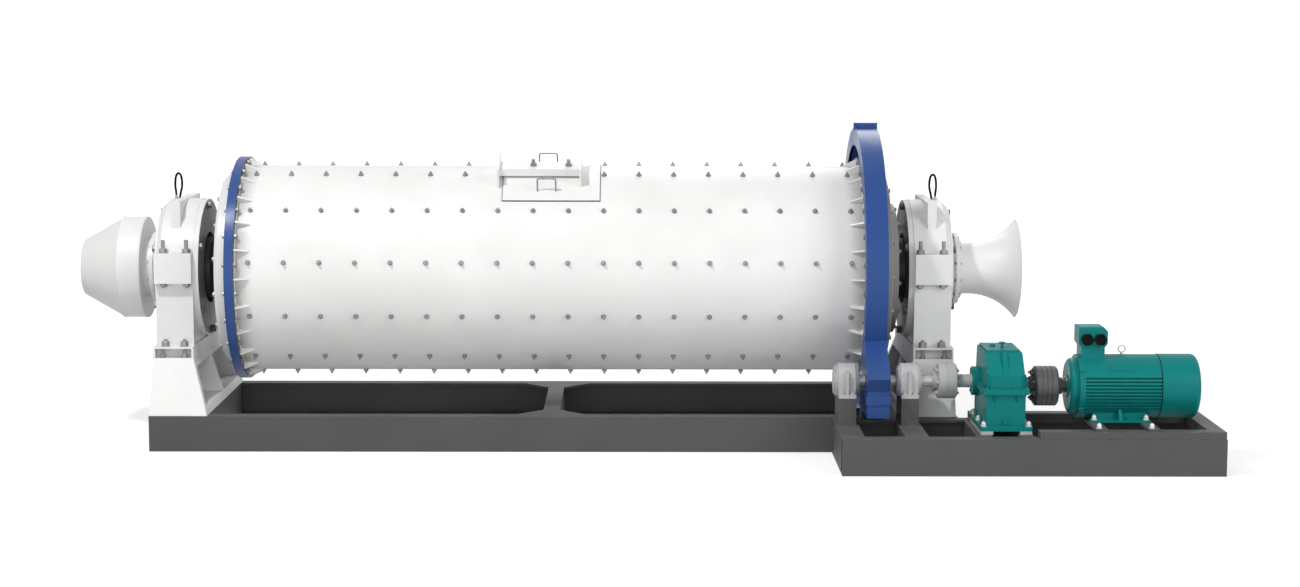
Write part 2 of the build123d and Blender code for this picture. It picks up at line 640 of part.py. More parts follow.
def bearing_cap(middle, side):
    """Round cap above the split, bevelled at its outer end, with ears and a bar across its crown."""
    x0 = middle - BEARING_HALF_WIDTH
    x1 = middle + BEARING_HALF_WIDTH
    ears = block(x0, x1, -EAR_HALF_SPAN, EAR_HALF_SPAN, BEARING_SPLIT, AXIS_Z + EAR_TOP)
    outer = middle + side * BEARING_HALF_WIDTH
    inner = middle - side * BEARING_HALF_WIDTH
    bevelled = [
        (inner, 0),
        (inner, BEARING_R),
        (outer - side * CAP_EDGE, BEARING_R),
        (outer, BEARING_R - CAP_EDGE),
        (outer, 0),
    ]
    round_cap = turned(outline(bevelled))
    bar_half = CROWN_BAR_WIDTH / 2
    bar_end = BEARING_R - CROWN_BAR_INSET
    bar = block(middle - bar_half, middle + bar_half, -bar_end, bar_end, BEARING_SPLIT, CROWN_BAR_TOP)
    above = block(x0 - CUT, x1 + CUT, -EAR_HALF_SPAN, EAR_HALF_SPAN, BEARING_SPLIT, AXIS_Z + 2 * BEARING_R)
    return (ears + round_cap + bar) & above - journal_hole(x0, x1)


def bearing_covers(middle, side):
    """Bolted rings that close a bearing towards the drum and towards the outside."""
    inner = middle - side * BEARING_HALF_WIDTH
    outer = middle + side * BEARING_HALF_WIDTH
    inner_face = inner - side * INNER_COVER_THICK
    outer_face = outer + side * OUTER_COVER_THICK
    return [
        ring(inner, inner_face, JOURNAL_R + INNER_COVER_GAP, BEARING_R - INNER_COVER_INSET),
        ring(outer, outer_face, JOURNAL_R + OUTER_COVER_GAP, BEARING_R - OUTER_COVER_INSET),
    ]


def pedestal(middle, side):
    """Welded stand under a main bearing, wider at the foot and open in its drum face."""
    outer = middle + side * FOOT_HALF_WIDTH
    inner = middle - side * FOOT_HALF_WIDTH
    flare = inner - side * PEDESTAL_FLARE
    side_view = [(outer, BASE_H), (outer, PEDESTAL_TOP), (inner, PEDESTAL_TOP), (flare, BASE_H)]
    body = extrude(Plane.XZ * outline(side_view), amount=PEDESTAL_HALF_SPAN, both=True)
    end_view = [
        (-PEDESTAL_HALF_SPAN, BASE_H),
        (-FOOT_HALF_SPAN, PEDESTAL_TOP),
        (FOOT_HALF_SPAN, PEDESTAL_TOP),
        (PEDESTAL_HALF_SPAN, BASE_H),
    ]
    body &= plate(end_view, min(outer, flare), max(outer, flare))
    low = BASE_H + PEDESTAL_FRAME
    high = PEDESTAL_TOP - PEDESTAL_FRAME
    lean = (PEDESTAL_HALF_SPAN - FOOT_HALF_SPAN) / (PEDESTAL_TOP - BASE_H)
    low_half = PEDESTAL_HALF_SPAN - lean * PEDESTAL_FRAME - PEDESTAL_FRAME
    high_half = low_half - lean * (high - low)
    mid = PEDESTAL_FRAME / 2
    pocket_outline = [(mid, low), (low_half, low), (high_half, high), (mid, high)]
    pocket = plate(pocket_outline, *sorted((flare, inner + side * PEDESTAL_POCKET)))
    return body - pocket - mirror(pocket, about=Plane.XZ)


def oil_loop(middle, side):
    """Oval oil hose standing on a bearing cap: outer leg in a fitting, inner leg on the crown bar."""
    crown = AXIS_Z + BEARING_R
    outer = middle + side * TUBE_OUTER_REACH
    inner = middle + side * TUBE_INNER_REACH
    path = Spline(
        (outer, 0, crown),
        (outer, 0, crown + TUBE_WAIST),
        ((outer + inner - side * TUBE_BULGE) / 2, 0, crown + TUBE_HEIGHT),
        (inner - side * TUBE_BULGE, 0, crown + TUBE_WAIST),
        (inner, 0, CROWN_BAR_TOP),
        tangents=((0, 0, 1), (0, 0, -1)),
    )
    tube = sweep(Plane(origin=(outer, 0, crown), z_dir=(0, 0, 1)) * Circle(TUBE_R), path=path)
    standing = (Align.CENTER, Align.CENTER, Align.MIN)
    fitting = Cone(TUBE_FITTING_R, TUBE_FITTING_TOP_R, TUBE_FITTING_HEIGHT, align=standing)
    return tube + Pos(outer, 0, crown) * fitting


def guard_outline(inset):
    """Gear guard seen along the drum: the ring and the hood over the pinion."""
    crease_z = SHAFT_Z + HOOD_CREASE_RISE
    crease_y = -sqrt(GUARD_R ** 2 - (AXIS_Z - crease_z) ** 2)
    hood = [
        (crease_y + inset, crease_z),
        (HOOD_FRONT + inset, SHAFT_Z + HOOD_SHOULDER),
        (SUMP_FRONT + inset, SUMP_TOP + 2 * LIP),
        (SUMP_FRONT + inset, SUMP_BOTTOM + inset),
        (crease_y + HOOD_DEPTH - inset, SUMP_BOTTOM + inset),
        (crease_y + 2 * PINION_TIP_R, crease_z),
    ]
    return Pos(0, AXIS_Z) * Circle(GUARD_R - inset) + outline(hood)


def gear_guard():
    """Sheet guard round the gear and pinion, before it is divided into its bolted pieces."""
    x0, x1 = GUARD_X
    whole = extrude(Plane.YZ.offset(x0) * guard_outline(0), amount=GUARD_WIDTH)
    inside = Plane.YZ.offset(x0 + GUARD_PLATE) * guard_outline(GUARD_PLATE)
    hollow = extrude(inside, amount=GUARD_WIDTH - 2 * GUARD_PLATE)
    mouth = ring(x0 - CUT, x1 + CUT, 0, GUARD_MOUTH_R)
    shaft_hole = rod(x0 - CUT, x1 + CUT, PINION_SHAFT_R + SHAFT_HOLE_GAP, PINION_Y, SHAFT_Z)
    return whole - hollow - mouth - shaft_hole


def guard_pieces():
    """The guard's front half, rear half and the sump under the pinion."""
    whole = gear_guard()
    x0, x1 = GUARD_X
    far = 2 * GUARD_R
    sump_zone = block(x0 - far, x1 + far, -far, SUMP_REAR, 0, SUMP_TOP)
    front_zone = block(x0 - far, x1 + far, -far, 0, 0, AXIS_Z + far)
    front = (whole & front_zone) - sump_zone
    rear = whole - front_zone
    sump = whole & sump_zone
    split_x0 = x0 - LIP_REACH
    split_x1 = x1 + LIP_REACH
    split_low = AXIS_Z + GUARD_R - 2 * GUARD_PLATE
    split_high = AXIS_Z + GUARD_R + GUARD_SPLIT_HEIGHT
    front += block(split_x0, split_x1, -GUARD_SPLIT_THICK, 0, split_low, split_high)
    rear += block(split_x0, split_x1, 0, GUARD_SPLIT_THICK, split_low, split_high)
    front += guard_lip(SUMP_TOP, SUMP_TOP + LIP)
    sump += guard_lip(SUMP_TOP - LIP, SUMP_TOP)
    sump += guard_foot(-1, SUMP_BOTTOM)
    rear += guard_foot(1, AXIS_Z - sqrt(GUARD_R ** 2 - BASE_HALF_WIDTH ** 2))
    return front, rear, sump


def guard_lip(z0, z1):
    """Flange bar round the front and sides of the guard where the sump bolts on."""
    x0, x1 = GUARD_X
    outside = block(x0 - LIP_REACH, x1 + LIP_REACH, SUMP_FRONT - LIP_REACH, SUMP_REAR, z0, z1)
    return outside - block(x0, x1, SUMP_FRONT, SUMP_REAR, z0, z1)


def guard_foot(side, top):
    """Pair of plates from the guard down to a beam of the main frame."""
    y0, y1 = sorted((side * BASE_HALF_WIDTH, side * (BASE_HALF_WIDTH - BEAM_FLANGE)))
    x0, x1 = GUARD_X
    legs = [
        block(x0, x0 + GUARD_FOOT_PLATE, y0, y1, BASE_H, top),
        block(x1 - GUARD_FOOT_PLATE, x1, y0, y1, BASE_H, top),
    ]
    return Compound(legs) - ring(x0, x1, 0, GUARD_R - GUARD_PLATE / 2)


def main_frame():
    """Side channels and cross beams of the drum's base frame."""
    sides = [
        channel_beam(BASE_LEFT, BASE_RIGHT, -BASE_HALF_WIDTH, 1),
        channel_beam(BASE_LEFT, BASE_RIGHT, BASE_HALF_WIDTH, -1),
    ]
    between = BASE_HALF_WIDTH - BEAM_FLANGE
    half = MID_BEAM_WIDTH / 2
    wide = half + MID_BEAM_CORNER
    mid = block(-half, half, -between, between, 0, BASE_H)
    corner_y = between - MID_BEAM_CORNER
    hourglass = [(half, corner_y), (wide, between), (-wide, between), (-half, corner_y)]
    corners = Pos(0, 0, BASE_H - BEAM_FLANGE_THICK) * extrude(outline(hourglass), amount=BEAM_FLANGE_THICK)
    mid += corners + mirror(corners, about=Plane.XZ)
    foot_reach = FOOT_HALF_WIDTH + PEDESTAL_FLARE
    ends = [
        block(BASE_LEFT, FEED_BEARING_X + foot_reach, -between, between, 0, BASE_H),
        block(DISCHARGE_BEARING_X - foot_reach, BASE_RIGHT, -between, between, 0, BASE_H),
    ]
    return sides, [mid] + ends


def drive_frame():
    """Side channels, cross beams and the raised motor pad of the drive's base frame."""
    sides = [
        channel_beam(DRIVE_LEFT, DRIVE_RIGHT, DRIVE_FRONT, 1),
        channel_beam(DRIVE_LEFT, DRIVE_RIGHT, DRIVE_REAR, -1),
    ]
    front = DRIVE_FRONT + BEAM_FLANGE
    rear = DRIVE_REAR - BEAM_FLANGE
    first, second = PINION_BEARING_X
    spans = (
        (DRIVE_LEFT, first + STAND_BEAM_HALF),
        (second - STAND_BEAM_HALF, second + STAND_BEAM_HALF),
        (REDUCER_X + NEAR_BEAM_REACH[0], REDUCER_X + NEAR_BEAM_REACH[1]),
        (REDUCER_X + FAR_BEAM_REACH[0], REDUCER_X + FAR_BEAM_REACH[1]),
        (DRIVE_RIGHT - END_BEAM_WIDTH, DRIVE_RIGHT),
    )
    cross = [block(x0, x1, front, rear, 0, BASE_H) for x0, x1 in spans]
    reducer_end = REDUCER_X + REDUCER_FOOT_HALF
    pad_right = DRIVE_RIGHT - PAD_SETBACK
    pad = block(reducer_end + PAD_GAP, pad_right, DRIVE_FRONT + PAD_SETBACK, front, BASE_H, PAD_TOP)
    pad += block(reducer_end + PAD_REAR_GAP, pad_right, rear, DRIVE_REAR - PAD_SETBACK, BASE_H, PAD_TOP)
    pad += block(pad_right - BEAM_FLANGE, pad_right, front, rear, BASE_H, PAD_TOP)
    return sides, cross, pad


def pinion_stand(middle):
    """Stand under one pinion bearing, on the drive frame."""
    x0 = middle - PINION_BLOCK_HALF
    x1 = middle + PINION_BLOCK_HALF
    return block(x0, x1, PINION_Y - PINION_FOOT_FRONT, DRIVE_REAR, BASE_H, STAND_TOP)


def pinion_bearing(middle, closed):
    """Pillow block with stepped end covers and a rib down its front and back."""
    x0 = middle - PINION_BLOCK_HALF
    x1 = middle + PINION_BLOCK_HALF
    step = PINION_BLOCK_HALF + PINION_COVER_THICK
    start = middle - PINION_COVER_HALF
    end = middle + PINION_COVER_HALF
    front = PINION_Y - PINION_BLOCK_R
    back = PINION_Y + PINION_BLOCK_R
    body = rod(x0, x1, PINION_BLOCK_R, PINION_Y, SHAFT_Z)
    body += block(x0, x1, front, back, STAND_TOP, SHAFT_Z)
    body += rod(middle - step, middle + step, PINION_BLOCK_R - PINION_COVER_INSET, PINION_Y, SHAFT_Z)
    body += rod(start, end, PINION_BLOCK_R - PINION_CAP_INSET, PINION_Y, SHAFT_Z)
    body += block(
        middle - PINION_RIB / 2,
        middle + PINION_RIB / 2,
        front - PINION_RIB,
        back + PINION_RIB,
        STAND_TOP,
        SHAFT_Z + PINION_RIB_TOP,
    )
    body -= block(start - CUT, end + CUT, front - CUT, back + CUT, SHAFT_Z - 2 * PINION_BLOCK_R, STAND_TOP)
    foot_top = STAND_TOP + PINION_FOOT_THICK
    body += block(x0, x1, PINION_Y - PINION_FOOT_FRONT, DRIVE_REAR, STAND_TOP, foot_top)
    hole_start = start + PINION_BLIND if closed else start - CUT
    return body - rod(hole_start, end + CUT, PINION_SHAFT_R + PINION_BEARING_GAP, PINION_Y, SHAFT_Z)


def reducer_cover_body():
    """Cover above the split: sloped front, bevelled upright corners, lid and a rib on the brow."""
    top = SHAFT_Z + REDUCER_RISE - REDUCER_LID
    crown_front = REDUCER_FRONT + REDUCER_SLOPE
    crown_rear = REDUCER_REAR - REDUCER_REAR_SLOPE
    side_view = [
        (REDUCER_FRONT, SHAFT_Z),
        (REDUCER_FRONT, SHAFT_Z + REDUCER_BROW),
        (crown_front, top),
        (crown_rear, top),
        (REDUCER_REAR, SHAFT_Z + REDUCER_BROW),
        (REDUCER_REAR, SHAFT_Z),
    ]
    left = REDUCER_X - REDUCER_COVER_HALF
    right = REDUCER_X + REDUCER_COVER_HALF
    body = plate(side_view, left, right)
    top_view = [
        (left, REDUCER_FRONT + REDUCER_CORNER),
        (left + REDUCER_CORNER, REDUCER_FRONT),
        (right - REDUCER_CORNER, REDUCER_FRONT),
        (right, REDUCER_FRONT + REDUCER_CORNER),
        (right, REDUCER_REAR),
        (left, REDUCER_REAR),
    ]
    body &= Pos(0, 0, SHAFT_Z) * extrude(outline(top_view), amount=REDUCER_RISE)
    inset = REDUCER_LID_INSET
    lid_front = crown_front + inset
    body += block(left + inset, right - inset, lid_front, crown_rear - inset, top, top + REDUCER_LID)
    brow_rib = [
        (REDUCER_FRONT, SHAFT_Z + REDUCER_BROW),
        (crown_front - BROW_RIB_STAND, top),
        (crown_front, top),
    ]
    return body + plate(brow_rib, REDUCER_X - BROW_RIB / 2, REDUCER_X + BROW_RIB / 2)


def reducer_pieces():
    """Case, cover and packing plates of the reducer."""
    x0 = REDUCER_X - REDUCER_HALF_WIDTH
    x1 = REDUCER_X + REDUCER_HALF_WIDTH
    foot_x0 = REDUCER_X - REDUCER_FOOT_HALF
    foot_x1 = REDUCER_X + REDUCER_FOOT_HALF
    foot_z = BASE_H + PACKING_THICK
    foot_front = REDUCER_FRONT - REDUCER_FOOT_OUT
    foot_rear = REDUCER_REAR + REDUCER_FOOT_OUT
    flange_x0 = x0 - REDUCER_FLANGE_OUT
    flange_x1 = x1 + REDUCER_FLANGE_OUT
    flange_front = REDUCER_FRONT - REDUCER_FLANGE_OUT
    flange_rear = REDUCER_REAR + REDUCER_FLANGE_OUT
    half_flange = REDUCER_FLANGE_THICK / 2
    flange_low = SHAFT_Z - half_flange
    case = block(x0, x1, REDUCER_FRONT, REDUCER_REAR, foot_z, SHAFT_Z)
    case += block(foot_x0, foot_x1, foot_front, foot_rear, foot_z, foot_z + REDUCER_FOOT_THICK)
    case += block(flange_x0, flange_x1, flange_front, flange_rear, flange_low, SHAFT_Z)
    rib = [
        (REDUCER_FRONT, flange_low),
        (flange_front, flange_low),
        (REDUCER_FRONT, flange_low - FLANGE_RIB_DROP),
    ]
    for shift in (-FLANGE_RIB_X, FLANGE_RIB_X):
        case += plate(rib, REDUCER_X + shift - FLANGE_RIB / 2, REDUCER_X + shift + FLANGE_RIB / 2)
    cover = block(flange_x0, flange_x1, flange_front, flange_rear, SHAFT_Z, SHAFT_Z + half_flange)
    cover += reducer_cover_body()
    bosses = rod(OUTPUT_BOSS_X, REDUCER_X, BOSS_R, PINION_Y, SHAFT_Z)
    bosses += rod(REDUCER_X, INPUT_BOSS_X, INPUT_BOSS_R, MOTOR_Y, SHAFT_Z)
    below = block(OUTPUT_BOSS_X - CUT, INPUT_BOSS_X + CUT, foot_front, foot_rear, foot_z, SHAFT_Z)
    case += bosses & below
    cover += bosses - below
    packing = [
        block(foot_x0, foot_x0 + PACKING_WIDTH, foot_front, foot_rear, BASE_H, foot_z),
        block(foot_x1 - PACKING_WIDTH, foot_x1, foot_front, foot_rear, BASE_H, foot_z),
    ]
    return case, cover, packing


def motor_body():
    """Motor frame with cooling fins down both sides."""
    body = rod(BELL_END, BODY_END, MOTOR_R, MOTOR_Y, SHAFT_Z)
    for i in range(FIN_COUNT):
        drop = FIN_DROP + (i - (FIN_COUNT - 1) / 2) * FIN_PITCH
        z = SHAFT_Z - drop
        reach = sqrt(MOTOR_R ** 2 - drop ** 2)
        for side in (-1, 1):
            y0, y1 = sorted((MOTOR_Y + side * (reach - FIN_DEPTH), MOTOR_Y + side * (MOTOR_R + CUT)))
            body -= block(BELL_END + FIN_END, BODY_END + CUT, y0, y1, z - FIN_GAP / 2, z + FIN_GAP / 2)
    return body


def motor_end_bell():
    """Bearing shield at the motor's shaft end: bearing cap, rounded shoulder, barrel and bolted rim."""
    barrel_r = MOTOR_R - BELL_INSET
    rim_start = BELL_END - BELL_RIM
    face_r = barrel_r - BELL_SHOULDER
    bend = MOTOR_LEFT + BELL_SHOULDER
    bulge = BELL_SHOULDER * (1 - cos(radians(45)))
    cap_hole = INPUT_SHAFT_R + BELL_CAP_GAP
    cap_face = MOTOR_LEFT - BELL_CAP_THICK
    sides = Polyline(
        (bend, barrel_r),
        (rim_start, barrel_r),
        (rim_start, MOTOR_R),
        (BELL_END, MOTOR_R),
        (BELL_END, 0),
        (MOTOR_LEFT, 0),
        (MOTOR_LEFT, cap_hole),
        (cap_face, cap_hole),
        (cap_face, BELL_CAP_R),
        (MOTOR_LEFT, BELL_CAP_R),
        (MOTOR_LEFT, face_r),
    )
    shoulder = ThreePointArc((MOTOR_LEFT, face_r), (MOTOR_LEFT + bulge, barrel_r - bulge), (bend, barrel_r))
    return turned(make_face([sides, shoulder]), MOTOR_Y, SHAFT_Z)


def motor_fan_cover():
    """Fan cover with a rounded outer edge."""
    rim = MOTOR_R + FAN_COVER_STAND
    edge = FAN_COVER_EDGE
    bulge = edge * (1 - cos(radians(45)))
    sides = Polyline((FAN_END, rim - edge), (FAN_END, 0), (BODY_END, 0), (BODY_END, rim), (FAN_END - edge, rim))
    corner = ThreePointArc((FAN_END - edge, rim), (FAN_END - bulge, rim - bulge), (FAN_END, rim - edge))
    return turned(make_face([sides, corner]), MOTOR_Y, SHAFT_Z)


def motor_feet():
    """Two feet along the motor, each a plate, a web up to the frame and a rib in the middle."""
    x0 = RAIL_X[0] - FEET_OVERHANG
    x1 = RAIL_X[1] + FEET_OVERHANG
    middle = (x0 + x1) / 2
    frame_hole = rod(x0 - CUT, x1 + CUT, MOTOR_R, MOTOR_Y, SHAFT_Z)
    feet = []
    for side in (-1, 1):
        outer = MOTOR_Y + side * FEET_HALF_SPAN
        inner = outer - side * FEET_WIDTH
        web = inner + side * FEET_WEB
        foot = block(x0, x1, *sorted((outer, inner)), RAIL_TOP, RAIL_TOP + FEET_THICK)
        foot += block(x0 + FEET_WEB_INSET, x1 - FEET_WEB_INSET, *sorted((web, inner)), RAIL_TOP, SHAFT_Z)
        rib = [(inner, RAIL_TOP), (outer, RAIL_TOP), (outer, RAIL_TOP + FEET_THICK), (inner, SHAFT_Z)]
        foot += plate(rib, middle - FEET_RIB / 2, middle + FEET_RIB / 2)
        feet.append(foot - frame_hole)
    return feet


def terminal_pieces():
    """Terminal box on its neck, and the two cable glands in its front."""
    middle = MOTOR_LEFT + BOX_REACH
    body_top = SHAFT_Z + MOTOR_R
    bottom = body_top + BOX_STAND
    top = bottom + BOX_HEIGHT
    seat = body_top - BOX_SEAT
    half = BOX_HALF_LENGTH
    neck = BOX_NECK_HALF
    front_view = [
        (middle - half, bottom + BOX_CHAMFER),
        (middle - half, top),
        (middle + half - BOX_CHAMFER, top),
        (middle + half, top - BOX_CHAMFER),
        (middle + half, bottom + BOX_CHAMFER),
        (middle + neck, bottom),
        (middle + neck, seat),
        (middle - neck, seat),
        (middle - neck, bottom),
    ]
    box = Pos(0, MOTOR_Y, 0) * extrude(Plane.XZ * outline(front_view), amount=BOX_HALF_DEPTH, both=True)
    box -= rod(MOTOR_LEFT, BODY_END, MOTOR_R, MOTOR_Y, SHAFT_Z)
    face = Plane(origin=(0, MOTOR_Y - BOX_HALF_DEPTH, 0), x_dir=(1, 0, 0), z_dir=(0, -1, 0))
    gland_z = bottom + BOX_HEIGHT / 2 - GLAND_DROP
    glands = []
    for shift in (-GLAND_SPACING / 2, GLAND_SPACING / 2):
        hexagon = face * Pos(middle + GLAND_SHIFT + shift, gland_z) * RegularPolygon(GLAND_R, 6)
        glands.append(extrude(hexagon, amount=GLAND_LENGTH))
    return box, glands


def motor_eye_bolt():
    """Lifting eye on top of the motor frame."""
    x = MOTOR_LEFT + EYE_REACH
    top = SHAFT_Z + MOTOR_R
    boss = Cylinder(EYE_BOSS_R, EYE_BOSS_HEIGHT, align=(Align.CENTER, Align.CENTER, Align.MIN))
    eye = Pos(x, MOTOR_Y, top + EYE_BOSS_HEIGHT + EYE_R) * Rot(90, 0, 0) * Torus(EYE_R, EYE_ROD_R)
    return eye + Pos(x, MOTOR_Y, top) * boss


def motor_rails():
    """Two rails across the pad under the motor's feet."""
    front = DRIVE_FRONT + RAIL_SETBACK
    rear = DRIVE_REAR - RAIL_SETBACK
    half = RAIL_WIDTH / 2
    return [block(x - half, x + half, front, rear, PAD_TOP, RAIL_TOP) for x in RAIL_X]


def manhole_turn():
    """Carries what is modelled at the top of the drum round to the manhole."""
    return Pos(0, 0, AXIS_Z) * Rot(90 - MANHOLE_ANGLE, 0, 0) * Pos(0, 0, -AXIS_Z)


def manhole_pieces():
    """Curved cover, clamping bridge, bolts and handles, modelled at the top and turned into place."""
    top_r = SHELL_R + MANHOLE_THICK
    length = MANHOLE_HALF_LENGTH
    spread = radians(MANHOLE_HALF_ANGLE)
    side = 2 * SHELL_R * sin(spread)
    tip = AXIS_Z + 2 * SHELL_R * cos(spread)
    cover = ring(-length, length, SHELL_R, top_r) & plate([(0, AXIS_Z), (side, tip), (-side, tip)], -length, length)
    base = AXIS_Z + SHELL_R
    left, right = BRIDGE_REACH
    bar_low = base + BRIDGE_BAR_BOTTOM
    bar_high = base + BRIDGE_BAR_TOP
    bridge = block(left, right, -BRIDGE_BAR_HALF, BRIDGE_BAR_HALF, bar_low, bar_high)
    half = BRIDGE_PLATE / 2
    plate_top = base + BRIDGE_PLATE_TOP
    for x in BRIDGE_REACH:
        bridge += block(x - half, x + half, -BRIDGE_PLATE_HALF, BRIDGE_PLATE_HALF, AXIS_Z, plate_top)
    bridge -= ring(left - BRIDGE_PLATE, -length, 0, SHELL_R)
    bridge -= ring(-length, length, 0, top_r)
    bolts = [Pos(x, 0, bar_high) * clamp_bolt() for x in CLAMP_BOLT_REACH]
    handles = []
    handle_y = SHELL_R * sin(spread) - HANDLE_EDGE
    for y in (-handle_y, handle_y):
        foot_z = AXIS_Z + sqrt(top_r ** 2 - y ** 2)
        grip = Pos(HANDLE_SHIFT - HANDLE_LENGTH / 2, y, foot_z - HANDLE_SINK) * handle()
        handles.append(grip - ring(-length, length, 0, top_r))
    pieces = (cover, bridge, Compound(children=bolts), Compound(children=handles))
    return [manhole_turn() * piece for piece in pieces]


def clamp_bolt():
    """Bolt end with a hexagon nut that stands on the bridge."""
    nut = extrude(RegularPolygon(CLAMP_NUT_R, 6), amount=CLAMP_NUT_HEIGHT)
    shank = Cylinder(CLAMP_BOLT_R, CLAMP_BOLT_RISE, align=(Align.CENTER, Align.CENTER, Align.MIN))
    return nut + shank


def handle():
    """Round bar bent into a grip, standing on two legs."""
    top = HANDLE_HEIGHT + HANDLE_SINK
    corners = ((0, 0, 0), (0, 0, top), (HANDLE_LENGTH, 0, top), (HANDLE_LENGTH, 0, 0))
    return sweep(Circle(HANDLE_ROD_R), path=FilletPolyline(*corners, radius=HANDLE_BEND))


def build():
    """Every piece by node name."""
    nodes = {}
    nodes["drum_shell"] = drum_shell()
    nodes["feed_shell_flange"] = shell_flange(-1)
    nodes["discharge_shell_flange"] = shell_flange(1)
    nodes["feed_head"] = drum_head(-1, FEED_END)
    nodes["discharge_head"] = drum_head(1, DISCHARGE_END)
    nodes["feeder_back_plate"] = feeder_back()
    nodes["drum_feeder"] = drum_feeder()
    nodes["discharge_trumpet"] = discharge_trumpet()
    nodes["girth_gear"] = girth_gear()
    cover, bridge, bolts, handles = manhole_pieces()
    nodes["manhole_cover"] = cover
    nodes["manhole_bridge"] = bridge
    nodes["manhole_clamp_bolts"] = bolts
    nodes["manhole_handles"] = handles
    nodes["pinion_shaft"] = pinion_shaft()
    nodes["low_speed_coupling"] = low_speed_coupling()
    nodes["high_speed_coupling"] = high_speed_coupling()
    ends = (("feed", FEED_BEARING_X, -1), ("discharge", DISCHARGE_BEARING_X, 1))
    for name, middle, side in ends:
        nodes[f"{name}_pedestal"] = pedestal(middle, side)
        nodes[f"{name}_bearing_base"] = bearing_base(middle)
        nodes[f"{name}_bearing_cap"] = bearing_cap(middle, side)
        nodes[f"{name}_bearing_covers"] = bearing_covers(middle, side)
    nodes["oil_loops"] = [oil_loop(middle, side) for _, middle, side in ends]
    front, rear, sump = guard_pieces()
    nodes["gear_guard_front"] = front
    nodes["gear_guard_rear"] = rear
    nodes["gear_guard_sump"] = sump
    sides, cross = main_frame()
    nodes["main_base_side_beams"] = sides
    nodes["main_base_cross_beams"] = cross
    sides, cross, pad = drive_frame()
    nodes["drive_base_side_beams"] = sides
    nodes["drive_base_cross_beams"] = cross
    nodes["motor_pad"] = pad
    nodes["pinion_bearing_stands"] = [pinion_stand(x) for x in PINION_BEARING_X]
    first, second = PINION_BEARING_X
    nodes["pinion_bearings"] = [pinion_bearing(first, True), pinion_bearing(second, False)]
    case, cover, packing = reducer_pieces()
    nodes["reducer_case"] = case
    nodes["reducer_cover"] = cover
    nodes["reducer_packing_plates"] = packing
    nodes["motor_body"] = motor_body()
    nodes["motor_end_bell"] = motor_end_bell()
    nodes["motor_fan_cover"] = motor_fan_cover()
    nodes["motor_feet"] = motor_feet()
    nodes["motor_rails"] = motor_rails()
    box, glands = terminal_pieces()
    nodes["terminal_box"] = box
    nodes["cable_glands"] = glands
    nodes["motor_eye_bolt"] = motor_eye_bolt()
    return nodes


def main():
    os.makedirs("parts", exist_ok=True)
    for name, shape in build().items():
        solid = Compound(children=shape) if isinstance(shape, list) else shape
        export_step(solid, f"parts/{name}.step")


main()
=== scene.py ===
"""Looks of the ball mill: camera, studio, finishes, fasteners and small fittings, in metres."""
from math import cos, pi, radians, sin, sqrt

import bmesh
import bpy
from mathutils import Matrix, Vector


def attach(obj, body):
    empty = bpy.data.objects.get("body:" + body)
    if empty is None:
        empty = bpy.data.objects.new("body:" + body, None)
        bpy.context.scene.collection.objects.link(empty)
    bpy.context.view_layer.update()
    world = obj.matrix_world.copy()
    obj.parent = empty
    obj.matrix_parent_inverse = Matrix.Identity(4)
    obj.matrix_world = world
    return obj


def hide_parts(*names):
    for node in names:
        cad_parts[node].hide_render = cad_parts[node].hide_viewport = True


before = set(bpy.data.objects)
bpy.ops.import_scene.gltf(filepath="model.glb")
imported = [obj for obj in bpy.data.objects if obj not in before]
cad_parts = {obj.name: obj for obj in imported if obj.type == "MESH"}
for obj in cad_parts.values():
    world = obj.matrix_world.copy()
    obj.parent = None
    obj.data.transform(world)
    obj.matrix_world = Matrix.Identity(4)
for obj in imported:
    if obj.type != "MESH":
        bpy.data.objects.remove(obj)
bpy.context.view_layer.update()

# Directions
UP = (0, 0, 1)
DOWN = (0, 0, -1)
FRONT = (0, -1, 0)                # towards the camera and the drive
BACK = (0, 1, 0)

# Drum, round a line along X; places along it count from its middle
DRUM_Z = 1.2585
SHELL_R = 0.768
SHELL_END = 2.281                 # inner faces of the end flanges
HEAD_FACE = 2.347                 # outer faces of the end castings' rims
GEAR_FLANGE_FACE = 2.375
DISH_FACE = 2.4435                # outer faces of the end castings' dishes
BLUE_RIM_R = 0.705                # the blue rims begin here
FLANGE_BOLT_R = 0.802
DISH_BOLT_R = 0.655
WIDE_PLATE_R = 0.690              # the two plates stepped on the discharge casting
WIDE_PLATE_FACE = 2.490
NARROW_PLATE_R = 0.485
NARROW_PLATE_FACE = 2.557
MANHOLE_HALF = 0.355
MANHOLE_ANGLES = (-2.05, 44.55)   # the cover's long edges, in degrees from the top towards the drive side
FEEDER_R = 0.3786
FEEDER_ENDS = (-3.0607, -3.2207)
FEEDER_NECK_R = 0.224
FEEDER_NECK_END = -3.0507

# Main bearings
FEED_BEARING = -2.764
DISCHARGE_BEARING = 2.803
MAIN_BEARINGS = ((FEED_BEARING, -1), (DISCHARGE_BEARING, 1))   # middle, and the side away from the drum
BEARING_HALF = 0.136
COVER_RIM_R = 0.503               # white rim of the drum-side covers begins here
COVER_PARTING = 2.69              # drum-side covers lie nearer the middle than this, outer ones further
CROWN_Z = DRUM_Z + 0.520
HOSE_R = 0.0085
FOOT_TOP = 0.737
FOOT_POCKET_FLOOR = 0.655

